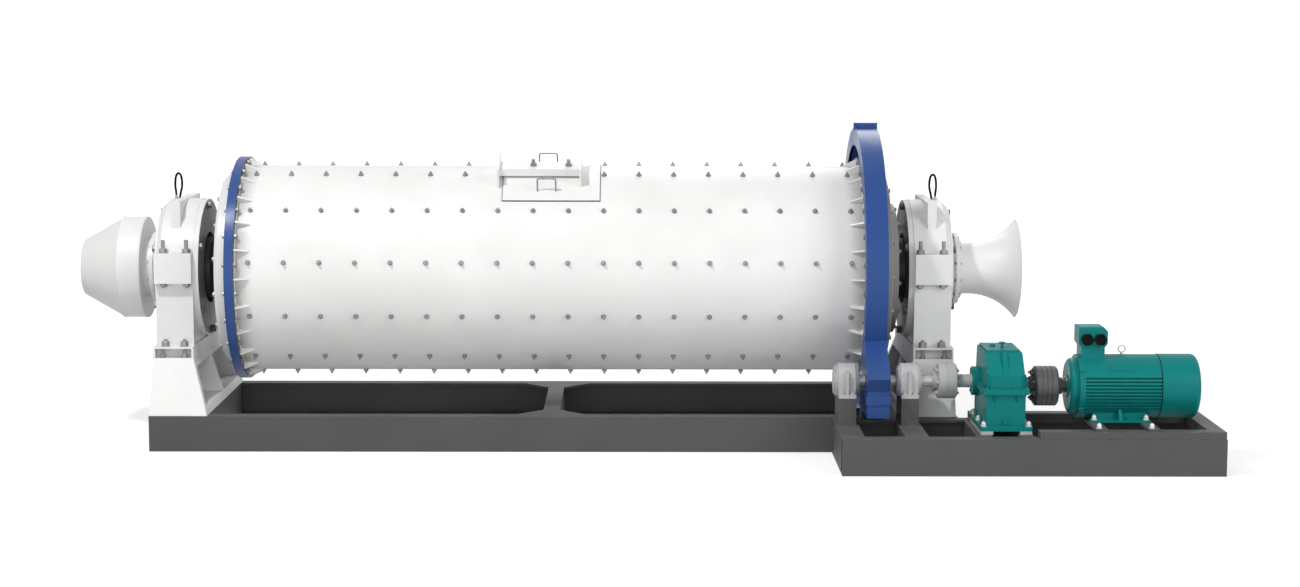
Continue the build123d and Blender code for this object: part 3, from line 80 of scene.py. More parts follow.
# Drive
SHAFT_Z = 0.555
GEAR_CENTRES = 1.2                # from the drum's axis to the pinion's
PINION_Y = -sqrt(GEAR_CENTRES ** 2 - (DRUM_Z - SHAFT_Z) ** 2)
MOTOR_Y = PINION_Y - 0.215
DRIVE_FRONT = MOTOR_Y - 0.499
GUARD_SPLIT_Z = 2.337
PINION_BEARINGS = (2.128, 2.574)
PINION_FOOT_TOP = 0.478
LOW_COUPLING = (2.784, 2.918)
REDUCER_X = 3.207
REDUCER_FRONT = MOTOR_Y - 0.268
REDUCER_REAR = PINION_Y + 0.092
REDUCER_BOSSES = (3.032, 3.386)   # faces of the slow and the fast shaft's bosses
REDUCER_FOOT_TOP = 0.313
REDUCER_LID_TOP = 0.825
HIGH_COUPLING_FACE = 3.438
MOTOR_R = 0.226
MOTOR_LEFT = 3.676
BODY_LEFT = 3.764
BODY_RIGHT = 4.314
FAN_END = 4.589
INTAKE_R = (0.045, 0.170)         # inner and outer radius of the fan's air intake
RAILS = (3.840, 4.206)
RAIL_TOP = 0.328
BOX_X = 3.841
BOX_TOP = 0.983

# Where paint changes, and where shade is painted
PAINT_MARGIN = 0.0006             # a paint line clears its edge by this much
FACE_DEPTH = 0.0008               # painted shade on a face reaches this far
PAINTED_SHADE_REACH = 0.14                # painted shade begins this far from the shell's ends
PAINTED_SHADE_SHARE = 0.55
JOURNAL_START = DISH_FACE + 0.060
JOURNAL_LIMIT_R = 0.29            # wider than the journals, narrower than the end castings

# Studio
AMBIENT = 0.33
FLOOR_GLOW = 0.55                 # white that the floor shows to the camera beside the machine
FLOOR_FADE = (5.0, 9.0)           # distance over which the floor turns plain white
FLOOR_HALF = 40

# Colours, as linear light
WHITE = (0.80, 0.80, 0.79, 1)
# grey of bare metal at worn edges, and painted shade on the drum-side bearing covers
BARE_AND_SHADE_GREY = (0.13, 0.13, 0.13, 1)
# dark grey of painted shade on the flange backs and the trunnion journals
PAINTED_SHADE_GREY = (0.040, 0.040, 0.040, 1)
BLUE = (0.019, 0.064, 0.235, 1)
DARK_GREY = (0.082, 0.082, 0.084, 1)
PALE_GREY = (0.46, 0.46, 0.46, 1)
# grey of painted shade on the white stepped plates of the discharge casting
PLATE_SHADE_GREY = (0.30, 0.30, 0.295, 1)
FLOOR_GREY = (0.60, 0.60, 0.60, 1)
TEAL = (0.002, 0.186, 0.180, 1)
IRON = (0.070, 0.070, 0.071, 1)
STEEL = (0.50, 0.50, 0.49, 1)
ZINC = (0.66, 0.66, 0.64, 1)
BOLT_GREY = (0.31, 0.31, 0.305, 1)
NUT_GREY = (0.16, 0.16, 0.16, 1)
BLACK = (0.003, 0.003, 0.0035, 1)
SOFT_BLACK = (0.009, 0.009, 0.0095, 1)
PRIMER = (0.20, 0.19, 0.18, 1)
# grey of painted shade towards the shell's ends
PAINTED_END_SHADE = (0.20, 0.198, 0.19, 1)
DUST = (0.36, 0.34, 0.31, 1)
SKY_WHITE = (1, 1, 1, 1)


# Shader groups

def start_group(name, inputs, outputs):
    """An empty node group with its sockets."""
    tree = bpy.data.node_groups.new(name, "ShaderNodeTree")
    for label, value in inputs:
        socket = tree.interface.new_socket(label, in_out="INPUT", socket_type="NodeSocketFloat")
        socket.default_value = value
    for label in outputs:
        tree.interface.new_socket(label, in_out="OUTPUT", socket_type="NodeSocketFloat")
    return tree, tree.nodes.new("NodeGroupInput"), tree.nodes.new("NodeGroupOutput")


def math_node(tree, operation, first, second=None, clamp=False):
    """A Math node; a number or a socket for each operand."""
    node = tree.nodes.new("ShaderNodeMath")
    node.operation = operation
    node.use_clamp = clamp
    for socket, value in zip(node.inputs, (first, second)):
        if value is None:
            continue
        if isinstance(value, (int, float)):
            socket.default_value = value
        else:
            tree.links.new(value, socket)
    return node.outputs[0]


def noise_node(tree, vector, scale, detail=3.0, rough=0.55):
    """Noise on a vector; scale is a number or a socket."""
    node = tree.nodes.new("ShaderNodeTexNoise")
    node.inputs["Detail"].default_value = detail
    node.inputs["Roughness"].default_value = rough
    tree.links.new(vector, node.inputs["Vector"])
    if isinstance(scale, (int, float)):
        node.inputs["Scale"].default_value = scale
    else:
        tree.links.new(scale, node.inputs["Scale"])
    return node.outputs["Fac"]


def spread(tree, value, low, high, to_low=0.0, to_high=1.0):
    """Smoothly maps a range of values to another, clamped."""
    node = tree.nodes.new("ShaderNodeMapRange")
    node.interpolation_type = "SMOOTHSTEP"
    node.inputs["From Min"].default_value = low
    node.inputs["From Max"].default_value = high
    node.inputs["To Min"].default_value = to_low
    node.inputs["To Max"].default_value = to_high
    tree.links.new(value, node.inputs["Value"])
    return node.outputs["Result"]


def object_place(tree):
    """Place of the shading point in the object's own coordinates."""
    return tree.nodes.new("ShaderNodeTexCoord").outputs["Object"]


def object_parts(tree):
    """X, Y and Z of the shading point in the object's own coordinates."""
    parts = tree.nodes.new("ShaderNodeSeparateXYZ")
    tree.links.new(object_place(tree), parts.inputs[0])
    return parts.outputs


def distance_node(tree, across, above):
    """Distance from a line along X, out of the offsets in Y and Z."""
    squares = [math_node(tree, "POWER", offset, 2.0) for offset in (across, above)]
    return math_node(tree, "SQRT", math_node(tree, "ADD", squares[0], squares[1]))


def make_paint_film():
    """Uneven film of sprayed enamel: broad mottle for colour and gloss, orange peel for the bump."""
    inputs = [("Mottle Scale", 2.2), ("Peel Scale", 320.0)]
    tree, source, result = start_group("paint_film", inputs, ["Mottle", "Peel"])
    place = object_place(tree)
    broad = noise_node(tree, place, source.outputs["Mottle Scale"], detail=5.0)
    fine = noise_node(tree, place, source.outputs["Peel Scale"], detail=1.0)
    tree.links.new(spread(tree, broad, 0.25, 0.75), result.inputs["Mottle"])
    tree.links.new(fine, result.inputs["Peel"])
    return tree


def make_worn_edges():
    """Mask along sharp edges where the paint is rubbed thin."""
    inputs = [("Break Up Scale", 14.0), ("Amount", 0.5)]
    tree, source, result = start_group("worn_edges", inputs, ["Wear"])
    bevel = tree.nodes.new("ShaderNodeBevel")
    bevel.samples = 4
    bevel.inputs["Radius"].default_value = 0.006
    normal = tree.nodes.new("ShaderNodeNewGeometry").outputs["Normal"]
    dot = tree.nodes.new("ShaderNodeVectorMath")
    dot.operation = "DOT_PRODUCT"
    tree.links.new(bevel.outputs["Normal"], dot.inputs[0])
    tree.links.new(normal, dot.inputs[1])
    turn = math_node(tree, "SUBTRACT", 1.0, dot.outputs["Value"])
    edge = spread(tree, turn, 0.02, 0.16)
    grain = noise_node(tree, object_place(tree), source.outputs["Break Up Scale"], detail=6.0, rough=0.7)
    broken = math_node(tree, "MULTIPLY", edge, spread(tree, grain, 0.5, 0.66))
    wear = math_node(tree, "MULTIPLY", broken, source.outputs["Amount"], clamp=True)
    tree.links.new(wear, result.inputs["Wear"])
    return tree


def make_settled_dust():
    """Mask of dust lying on faces that point up."""
    tree, source, result = start_group("settled_dust", [("Amount", 0.3)], ["Dust"])
    coordinates = tree.nodes.new("ShaderNodeTexCoord")
    parts = tree.nodes.new("ShaderNodeSeparateXYZ")
    tree.links.new(coordinates.outputs["Normal"], parts.inputs[0])
    upward = spread(tree, parts.outputs["Z"], 0.55, 1.0)
    grain = noise_node(tree, coordinates.outputs["Object"], 5.0, detail=6.0, rough=0.65)
    lying = math_node(tree, "MULTIPLY", upward, spread(tree, grain, 0.3, 0.8))
    dust = math_node(tree, "MULTIPLY", lying, source.outputs["Amount"], clamp=True)
    tree.links.new(dust, result.inputs["Dust"])
    return tree


def make_cast_skin():
    """Pebbled skin of a sand casting or a hot-rolled section."""
    tree, source, result = start_group("cast_skin", [("Grain Scale", 130.0)], ["Height"])
    place = object_place(tree)
    grain = noise_node(tree, place, source.outputs["Grain Scale"], detail=4.0, rough=0.6)
    lumps = noise_node(tree, place, 18.0, detail=2.0)
    tree.links.new(math_node(tree, "ADD", grain, lumps), result.inputs["Height"])
    return tree


def make_turned_marks():
    """Fine rings left by a lathe, round a line along X."""
    inputs = [("Centre Y", 0.0), ("Centre Z", 0.0)]
    tree, source, result = start_group("turned_marks", inputs, ["Rings"])
    x, y, z = object_parts(tree)
    across = math_node(tree, "SUBTRACT", y, source.outputs["Centre Y"])
    above = math_node(tree, "SUBTRACT", z, source.outputs["Centre Z"])
    along = tree.nodes.new("ShaderNodeCombineXYZ")
    tree.links.new(x, along.inputs["X"])
    tree.links.new(distance_node(tree, across, above), along.inputs["Y"])
    tree.links.new(noise_node(tree, along.outputs[0], 420.0, detail=2.0), result.inputs["Rings"])
    return tree


PAINT_FILM = make_paint_film()
WORN_EDGES = make_worn_edges()
SETTLED_DUST = make_settled_dust()
CAST_SKIN = make_cast_skin()
TURNED_MARKS = make_turned_marks()


# Materials

def place_group(tree, group, **values):
    """A group node in a material, with its own values."""
    node = tree.nodes.new("ShaderNodeGroup")
    node.node_tree = group
    for label, value in values.items():
        node.inputs[label.replace("_", " ")].default_value = value
    return node


def mix_colour(tree, factor, first, second):
    """Mixes two colours; each is a colour or a socket."""
    node = tree.nodes.new("ShaderNodeMix")
    node.data_type = "RGBA"
    tree.links.new(factor, node.inputs["Factor"])
    for socket, value in ((node.inputs["A"], first), (node.inputs["B"], second)):
        if isinstance(value, tuple):
            socket.default_value = value
        else:
            tree.links.new(value, socket)
    return node.outputs["Result"]


def mottled(tree, film, colour, share):
    """A colour that sinks to a share of itself where the film's mottle is low."""
    low = (colour[0] * share, colour[1] * share, colour[2] * share, 1)
    return mix_colour(tree, film.outputs["Mottle"], low, colour)


def start_material(name):
    """A material with its node tree and its shader."""
    material = bpy.data.materials.new(name)
    material.use_nodes = True
    return material, material.node_tree, material.node_tree.nodes["Principled BSDF"]


def bump(tree, shader, height, distance, strength=0.5):
    """Raises the shader's surface by a height."""
    node = tree.nodes.new("ShaderNodeBump")
    node.inputs["Distance"].default_value = distance
    node.inputs["Strength"].default_value = strength
    tree.links.new(height, node.inputs["Height"])
    tree.links.new(node.outputs["Normal"], shader.inputs["Normal"])


def enamel(name, colour, rough, wear, dust, bare, cast=False, shine=0.35, others=()):
    """Sprayed enamel with mottle, worn edges and dust; others are more colours, each with its mask."""
    material, tree, shader = start_material(name)
    film = place_group(tree, PAINT_FILM)
    base = mottled(tree, film, colour, share=0.93)
    for other, where in others:
        base = mix_colour(tree, where(tree), base, mottled(tree, film, other, share=0.93))
    edges = place_group(tree, WORN_EDGES, Amount=wear)
    base = mix_colour(tree, edges.outputs["Wear"], base, bare)
    settled = place_group(tree, SETTLED_DUST, Amount=dust)
    base = mix_colour(tree, settled.outputs["Dust"], base, DUST)
    tree.links.new(base, shader.inputs["Base Color"])
    shader.inputs["Specular IOR Level"].default_value = shine
    gloss = spread(tree, film.outputs["Mottle"], 0.0, 1.0, rough + 0.05, rough - 0.04)
    dull = math_node(tree, "MULTIPLY", settled.outputs["Dust"], 0.4)
    tree.links.new(math_node(tree, "ADD", gloss, dull, clamp=True), shader.inputs["Roughness"])
    if cast:
        skin = place_group(tree, CAST_SKIN)
        bump(tree, shader, skin.outputs["Height"], distance=0.0012, strength=0.35)
    else:
        bump(tree, shader, film.outputs["Peel"], distance=0.0003, strength=0.3)
    return material


def turned_metal(name, colour, rough, y, z, metallic):
    """Lathe-turned metal with fine rings round a line along X."""
    material, tree, shader = start_material(name)
    marks = place_group(tree, TURNED_MARKS, Centre_Y=y, Centre_Z=z)
    film = place_group(tree, PAINT_FILM, Mottle_Scale=9.0)
    tree.links.new(mottled(tree, film, colour, share=0.78), shader.inputs["Base Color"])
    shader.inputs["Metallic"].default_value = metallic
    gloss = spread(tree, marks.outputs["Rings"], 0.3, 0.7, rough - 0.08, rough + 0.1)
    tree.links.new(gloss, shader.inputs["Roughness"])
    bump(tree, shader, marks.outputs["Rings"], distance=0.0003, strength=0.4)
    return material


def fastener_metal(name, colour, rough, metallic):
    """Plated or plain steel of nuts and studs, a little uneven from one to the next."""
    material, tree, shader = start_material(name)
    film = place_group(tree, PAINT_FILM, Mottle_Scale=26.0)
    edges = place_group(tree, WORN_EDGES, Amount=0.35)
    tint = mix_colour(tree, edges.outputs["Wear"], mottled(tree, film, colour, share=0.7), ZINC)
    tree.links.new(tint, shader.inputs["Base Color"])
    shader.inputs["Metallic"].default_value = metallic
    gloss = spread(tree, film.outputs["Mottle"], 0.0, 1.0, rough + 0.12, rough - 0.06)
    tree.links.new(gloss, shader.inputs["Roughness"])
    bump(tree, shader, film.outputs["Peel"], distance=0.0002, strength=0.3)
    return material


def moulded_black(name):
    """Black rubber and moulded plastic."""
    material, tree, shader = start_material(name)
    film = place_group(tree, PAINT_FILM, Mottle_Scale=30.0, Peel_Scale=900.0)
    tint = mix_colour(tree, film.outputs["Mottle"], BLACK, SOFT_BLACK)
    settled = place_group(tree, SETTLED_DUST, Amount=0.05)
    tree.links.new(mix_colour(tree, settled.outputs["Dust"], tint, DUST), shader.inputs["Base Color"])
    shader.inputs["Specular IOR Level"].default_value = 0.04
    gloss = spread(tree, film.outputs["Mottle"], 0.0, 1.0, 0.42, 0.55)
    tree.links.new(gloss, shader.inputs["Roughness"])
    bump(tree, shader, film.outputs["Peel"], distance=0.0002, strength=0.3)
    return material


def from_drum_axis(tree):
    """Distance along X from the drum's middle, and distance from its axis."""
    x, y, z = object_parts(tree)
    rise = math_node(tree, "SUBTRACT", z, DRUM_Z)
    return math_node(tree, "ABSOLUTE", x), distance_node(tree, y, rise)


def off_flange_rim(tree):
    """1 on the white casting and gussets, 0 on the blue flange rims at the drum's ends."""
    far, out = from_drum_axis(tree)
    inside = math_node(tree, "LESS_THAN", out, BLUE_RIM_R)
    short = math_node(tree, "LESS_THAN", far, SHELL_END - PAINT_MARGIN)
    beyond = math_node(tree, "GREATER_THAN", far, HEAD_FACE + PAINT_MARGIN)
    return math_node(tree, "ADD", math_node(tree, "ADD", inside, short), beyond, clamp=True)


def painted_flange_back_shade(tree):
    """Painted shade: 1 on the flange face that looks towards the shell, where the gussets keep the light
    away.
    """
    far, out = from_drum_axis(tree)
    gap = math_node(tree, "ABSOLUTE", math_node(tree, "SUBTRACT", far, SHELL_END))
    outside = math_node(tree, "GREATER_THAN", out, SHELL_R)
    return math_node(tree, "MULTIPLY", math_node(tree, "LESS_THAN", gap, FACE_DEPTH), outside)


def painted_shade_between_gussets(tree):
    """Painted shade that grows towards both ends of the shell, between the gussets."""
    far = from_drum_axis(tree)[0]
    return spread(tree, far, SHELL_END - PAINTED_SHADE_REACH, SHELL_END, 0.0, PAINTED_SHADE_SHARE)


def painted_journal_shade(tree):
    """Painted shade: 1 on the trunnion journals, 0 on the enamelled heads."""
    far, out = from_drum_axis(tree)
    beyond = math_node(tree, "GREATER_THAN", far, JOURNAL_START)
    before = math_node(tree, "LESS_THAN", far, -FEED_BEARING)
    narrow = math_node(tree, "LESS_THAN", out, JOURNAL_LIMIT_R)
    return math_node(tree, "MULTIPLY", math_node(tree, "MULTIPLY", beyond, before), narrow)


def drum_side_cover_shade(tree):
    """Painted shade: 1 on the bearing covers' faces towards the drum, 0 on their white rims."""
    far, out = from_drum_axis(tree)
    facing = math_node(tree, "LESS_THAN", far, COVER_PARTING)
    return math_node(tree, "MULTIPLY", facing, math_node(tree, "LESS_THAN", out, COVER_RIM_R))


white = enamel("white_enamel", WHITE, rough=0.38, wear=0.10, dust=0.06, bare=BARE_AND_SHADE_GREY)
# the shell takes painted shade towards its ends, between the gussets
shell_white = enamel("drum_shell_enamel", WHITE, rough=0.38, wear=0.10, dust=0.06, bare=BARE_AND_SHADE_GREY,
                     others=[(PAINTED_END_SHADE, painted_shade_between_gussets)])
white_cast = enamel("white_cast_enamel", WHITE, rough=0.42, wear=0.16, dust=0.08, bare=BARE_AND_SHADE_GREY, cast=True)
# the drum ends take painted shade on the flange backs and the journals
drum_end = enamel("drum_end_enamel", BLUE, rough=0.34, wear=0.25, dust=0.05, bare=PRIMER, shine=0.3,
                  others=[(WHITE, off_flange_rim), (PAINTED_SHADE_GREY, painted_flange_back_shade), (PAINTED_SHADE_GREY, painted_journal_shade)])
# the covers' faces towards the drum take painted shade
cover_paint = enamel("bearing_cover_enamel", WHITE, rough=0.42, wear=0.16, dust=0.05, bare=PRIMER, shine=0.2,
                     others=[(BARE_AND_SHADE_GREY, drum_side_cover_shade)])
blue = enamel("blue_enamel", BLUE, rough=0.32, wear=0.25, dust=0.06, bare=PRIMER, shine=0.25)
# the stepped plates are grey as painted shade
stepped_plate_shade = enamel("discharge_plate_shade_enamel", PLATE_SHADE_GREY, rough=0.45, wear=0.2, dust=0.05, bare=PRIMER,
                    shine=0.2)
pale_grey = enamel("pale_grey_enamel", PALE_GREY, rough=0.44, wear=0.25, dust=0.08, bare=PRIMER, cast=True)
dark_grey = enamel("dark_grey_frame_paint", DARK_GREY, rough=0.55, wear=0.4, dust=0.14, bare=PALE_GREY,
                   cast=True, shine=0.25)
teal = enamel("teal_enamel", TEAL, rough=0.36, wear=0.18, dust=0.04, bare=PRIMER, cast=True, shine=0.12)
dark_iron = turned_metal("turned_dark_iron", IRON, rough=0.46, y=MOTOR_Y, z=SHAFT_Z, metallic=0.0)
shaft_steel = turned_metal("turned_shaft_steel", STEEL, rough=0.36, y=PINION_Y, z=SHAFT_Z, metallic=0.45)
bright_steel = fastener_metal("bright_steel", ZINC, rough=0.38, metallic=0.35)
bolt_steel = fastener_metal("bolt_steel", BOLT_GREY, rough=0.44, metallic=0.4)
dark_nut = fastener_metal("dark_nut_steel", NUT_GREY, rough=0.40, metallic=0.3)
black = moulded_black("black_moulding")

finishes = {
    shell_white: ["drum_shell"],
    white: ["drum_feeder", "feeder_back_plate", "discharge_trumpet", "manhole_cover", "manhole_bridge"],
    white_cast: ["feed_pedestal", "discharge_pedestal", "feed_bearing_base", "feed_bearing_cap",
                 "discharge_bearing_base", "discharge_bearing_cap"],
    drum_end: ["feed_head", "discharge_head", "feed_shell_flange", "discharge_shell_flange"],
    cover_paint: ["feed_bearing_covers", "discharge_bearing_covers"],
    blue: ["girth_gear", "gear_guard_front", "gear_guard_rear", "gear_guard_sump"],
    pale_grey: ["low_speed_coupling", "pinion_bearings", "reducer_packing_plates"],
    dark_grey: ["main_base_side_beams", "main_base_cross_beams", "drive_base_side_beams",
                "drive_base_cross_beams", "motor_pad", "pinion_bearing_stands", "motor_rails"],
    teal: ["reducer_case", "reducer_cover", "motor_body", "motor_end_bell", "motor_fan_cover", "motor_feet",
           "terminal_box"],
    shaft_steel: ["pinion_shaft"],
    bright_steel: ["motor_eye_bolt"],
    bolt_steel: ["manhole_clamp_bolts", "manhole_handles"],
    dark_iron: ["high_speed_coupling"],
    black: ["cable_glands", "oil_loops"],
}
for material, names in finishes.items():
    for name in names:
        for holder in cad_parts[name].material_slots:
            holder.material = material


# Mesh helpers

def lathe(bm, profile, steps):
    """Spins a profile of (radius, height) pairs round Z."""
    verts = [bm.verts.new((radius, 0, height)) for radius, height in profile]
    edges = [bm.edges.new(pair) for pair in zip(verts, verts[1:])]
    bmesh.ops.spin(bm, geom=verts + edges, cent=(0, 0, 0), axis=UP, angle=2 * pi, steps=steps, use_merge=True)


def drum_ring(bm, profile, steps):
    """Spins a closed profile of (radius, x) pairs round the drum's axis."""
    verts = [bm.verts.new((x, 0, DRUM_Z + radius)) for radius, x in profile]
    edges = [bm.edges.new(pair) for pair in zip(verts, verts[1:] + verts[:1])]
    bmesh.ops.spin(bm, geom=verts + edges, cent=(0, 0, DRUM_Z), axis=(1, 0, 0), angle=2 * pi, steps=steps,
                   use_merge=True)


def close_up(bm):
    """Joins the seams and poles of spun shapes and points their faces outwards."""
    bmesh.ops.remove_doubles(bm, verts=bm.verts, dist=1e-6)
    bmesh.ops.recalc_face_normals(bm, faces=bm.faces)


def template(name, shells):
    """A mesh made of lathed shells, each a (profile, steps) pair, standing on Z = 0."""
    mesh = bpy.data.meshes.new(name)
    whole = bmesh.new()
    for profile, steps in shells:
        shell = bmesh.new()
        lathe(shell, profile, steps)
        close_up(shell)
        shell.to_mesh(mesh)
        shell.free()
        whole.from_mesh(mesh)
    whole.to_mesh(mesh)
    whole.free()
    return mesh


def fastener(name, radius, height, washer=True, stud=0.0, bar=0.0):
    """A hexagon nut or bolt head with a bevelled crown, and where wanted its washer and stud end."""
    seat = 0.12 * radius if washer else 0.0
    top = seat + height
    crown = 0.88 * radius
    shells = [([(radius, seat), (radius, top - 0.12 * height), (crown, top), (0, top)], 6)]
    if washer:
        rim = 1.12 * radius
        shells.append(([(rim, 0), (rim, seat), (0.7 * radius, seat)], 12))
    if stud:
        bar = bar or 0.46 * radius
        tip = top + stud
        shells.append(([(bar, top - 0.001), (bar, tip - 0.2 * bar), (0.8 * bar, tip), (0, tip)], 8))
    return template(name, shells)


def stamp(bm, mesh, place, direction):
    """Adds a template at a place, standing along a direction."""
    start = len(bm.verts)
    bm.from_mesh(mesh)
    bm.verts.ensure_lookup_table()
    turn = Vector(direction).to_track_quat("Z", "Y").to_matrix().to_4x4()
    bmesh.ops.transform(bm, matrix=Matrix.Translation(place) @ turn, verts=bm.verts[start:])


def bolt_ring(bm, mesh, x, side, radius, count, first=0.0, y=0.0, z=DRUM_Z):
    """A circle of fasteners on a face across X; first is degrees from the top."""
    for i in range(count):
        angle = radians(first + 360 * i / count)
        stamp(bm, mesh, (x, y + radius * sin(angle), z + radius * cos(angle)), (side, 0, 0))


def finish_piece(bm, name, body, material, smooth=35):
    """Turns a bmesh into a piece that rides on a body."""
    mesh = bpy.data.meshes.new(name)
    bm.to_mesh(mesh)
    bm.free()
    mesh.materials.append(material)
    mesh.shade_smooth()
    mesh.set_sharp_from_angle(angle=radians(smooth))
    piece = bpy.data.objects.new(name, mesh)
    bpy.context.scene.collection.objects.link(piece)
    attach(piece, body)
    return piece


def box_piece(bm, low, high, edge):
    """A box between two corners with bevelled edges; returns the number of vertices before it."""
    start = len(bm.verts)
    made = bmesh.ops.create_cube(bm, size=1.0)
    middle = (Vector(low) + Vector(high)) / 2
    span = Vector(high) - Vector(low)
    bmesh.ops.scale(bm, vec=span, verts=made["verts"])
    bmesh.ops.translate(bm, vec=middle, verts=made["verts"])
    edges = {e for v in made["verts"] for e in v.link_edges}
    bmesh.ops.bevel(bm, geom=list(edges), offset=edge, affect="EDGES", segments=2, profile=0.5, material=-1)
    return start


def placed_box(bm, low, high, edge, place):
    """A bevelled box carried to its place by a matrix."""
    start = box_piece(bm, low, high, edge)
    bm.verts.ensure_lookup_table()
    bmesh.ops.transform(bm, matrix=place, verts=bm.verts[start:])


def bead_ring(bm, x, radius, thick, y=0.0, z=DRUM_Z, steps=120):
    """A weld bead round a line along X."""
    made = bmesh.ops.create_circle(bm, segments=6, radius=thick)
    turn = Matrix.Translation((x, y, z + radius)) @ Matrix.Rotation(pi / 2, 4, "X")
    bmesh.ops.transform(bm, matrix=turn, verts=made["verts"])
    edges = list({e for v in made["verts"] for e in v.link_edges})
    bmesh.ops.spin(bm, geom=made["verts"] + edges, cent=(x, y, z), axis=(1, 0, 0), angle=2 * pi, steps=steps,
                   use_merge=True)


# Fasteners and fittings on the drum

def liner_bolts():
    """Rows of liner bolts all over the shell, left out under the manhole's clamp."""
    nut = fastener("liner_nut", radius=0.0175, height=0.014, stud=0.016)
    first_angle = 8.75            # degrees from the drive side upwards
    first_x = -2.1816
    pitch = 0.25665
    rows = 12
    columns = 18
    clamp_row = 2
    clamp_x = -0.05
    clamp_half = 0.40
    bm = bmesh.new()
    for row in range(rows):
        angle = radians(first_angle + 360 * row / rows)
        out = Vector((0, -cos(angle), sin(angle)))
        for column in range(columns):
            x = first_x + pitch * column
            if row == clamp_row and abs(x - clamp_x) < clamp_half:
                continue
            stamp(bm, nut, Vector((x, 0, DRUM_Z)) + SHELL_R * out, out)
    finish_piece(bm, "liner_bolts", "drum", bolt_steel)


def manhole_gasket():
    """Dark rubber lip that shows round the manhole cover's edge."""
    lip = 0.0035
    low = SHELL_R - 0.002
    high = SHELL_R + 0.0075
    centre = (0, 0, DRUM_Z)
    first, last = (radians(angle) for angle in MANHOLE_ANGLES)
    outer = MANHOLE_HALF + lip
    bm = bmesh.new()
    for start, end in ((-outer, -MANHOLE_HALF), (MANHOLE_HALF, outer)):
        corners = ((start, low), (end, low), (end, high), (start, high))
        face = bm.faces.new([bm.verts.new((x, 0, DRUM_Z + radius)) for x, radius in corners])
        bmesh.ops.rotate(bm, verts=face.verts, cent=centre, matrix=Matrix.Rotation(first, 3, "X"))
        bmesh.ops.spin(bm, geom=[face], cent=centre, axis=(1, 0, 0), angle=last - first, steps=24)
    for turn, near, far in ((first, 0.0, lip), (last, -lip, 0.0)):
        begin = box_piece(bm, (-outer, near, DRUM_Z + low), (outer, far, DRUM_Z + high), edge=0.0006)
        bm.verts.ensure_lookup_table()
        bmesh.ops.rotate(bm, verts=bm.verts[begin:], cent=centre, matrix=Matrix.Rotation(turn, 3, "X"))
    bmesh.ops.recalc_face_normals(bm, faces=bm.faces)
    finish_piece(bm, "manhole_gasket", "drum", black)


def drum_end_bolts():
    """Bolts through the flanges between the gussets, and round the dished castings and their plates."""
    head = fastener("flange_bolt_head", radius=0.021, height=0.014)
    nut = fastener("flange_bolt_nut", radius=0.021, height=0.018, stud=0.010)
    dish_bolt = fastener("dish_bolt", radius=0.018, height=0.014)
    plate_nut = fastener("step_plate_nut", radius=0.017, height=0.013, stud=0.006)
    bm = bmesh.new()
    for bolt, face, side in ((head, -HEAD_FACE, -1), (nut, -SHELL_END, 1), (head, SHELL_END, -1),
                             (nut, GEAR_FLANGE_FACE, 1)):
        bolt_ring(bm, bolt, face, side, FLANGE_BOLT_R, count=24, first=7.5)
    bolt_ring(bm, dish_bolt, -DISH_FACE, -1, DISH_BOLT_R, count=16, first=11.25)
    bolt_ring(bm, dish_bolt, WIDE_PLATE_FACE, 1, DISH_BOLT_R, count=16)
    bolt_ring(bm, plate_nut, NARROW_PLATE_FACE, 1, radius=0.455, count=12, first=-8)
    finish_piece(bm, "drum_end_bolts", "drum", bolt_steel)


def discharge_plates():
    """Two bevelled plates stepped on the discharge casting round its neck, grey as painted shade."""
    bevel = 0.004
    bore = 0.234
    bore_depth = 0.014
    root_r = 0.30
    seat = DISH_FACE - 0.001
    profile = [
        (bore, NARROW_PLATE_FACE - bore_depth),
        (bore, NARROW_PLATE_FACE),
        (NARROW_PLATE_R - bevel, NARROW_PLATE_FACE),
        (NARROW_PLATE_R, NARROW_PLATE_FACE - bevel),
        (NARROW_PLATE_R, WIDE_PLATE_FACE),
        (WIDE_PLATE_R - bevel, WIDE_PLATE_FACE),
        (WIDE_PLATE_R, WIDE_PLATE_FACE - bevel),
        (WIDE_PLATE_R, seat),
        (root_r, seat),
    ]
    bm = bmesh.new()
    drum_ring(bm, profile, steps=96)
    close_up(bm)
    finish_piece(bm, "discharge_step_plates", "drum", stepped_plate_shade)


def mouth_bolts():
    """Bolts of the feeder's and the trumpet's flanges on the trunnion ends."""
    head = fastener("mouth_bolt_head", radius=0.012, height=0.009, washer=False)
    nut = fastener("mouth_bolt_nut", radius=0.012, height=0.010, washer=False, stud=0.006)
    flanges = ((-1, -3.002, -2.972), (1, 3.041, 3.011))   # side, outer face and inner face
    bm = bmesh.new()
    for side, outer, inner in flanges:
        bolt_ring(bm, head, outer, side, radius=0.246, count=12, first=15)
        bolt_ring(bm, nut, inner, -side, radius=0.249, count=12, first=15)
    finish_piece(bm, "mouth_flange_bolts", "drum", bolt_steel)


def drum_welds():
    """Weld beads of the shell flanges, the feeder drum and its cone."""
    bm = bmesh.new()
    for x in (-SHELL_END, SHELL_END):
        bead_ring(bm, x, SHELL_R, thick=0.006)
    for x in FEEDER_ENDS:
        bead_ring(bm, x, FEEDER_R, thick=0.004)
    bead_ring(bm, FEEDER_NECK_END, FEEDER_NECK_R, thick=0.005)
    bmesh.ops.recalc_face_normals(bm, faces=bm.faces)
    finish_piece(bm, "drum_weld_beads", "drum", white)


# Fasteners and fittings of the main bearings

def bearing_corners(middle, side, outward, inward, reach):
    """Four places on a main bearing: away from the drum and towards it, in front and behind."""
    return [(x, y) for x in (middle + side * outward, middle - side * inward) for y in (-reach, reach)]


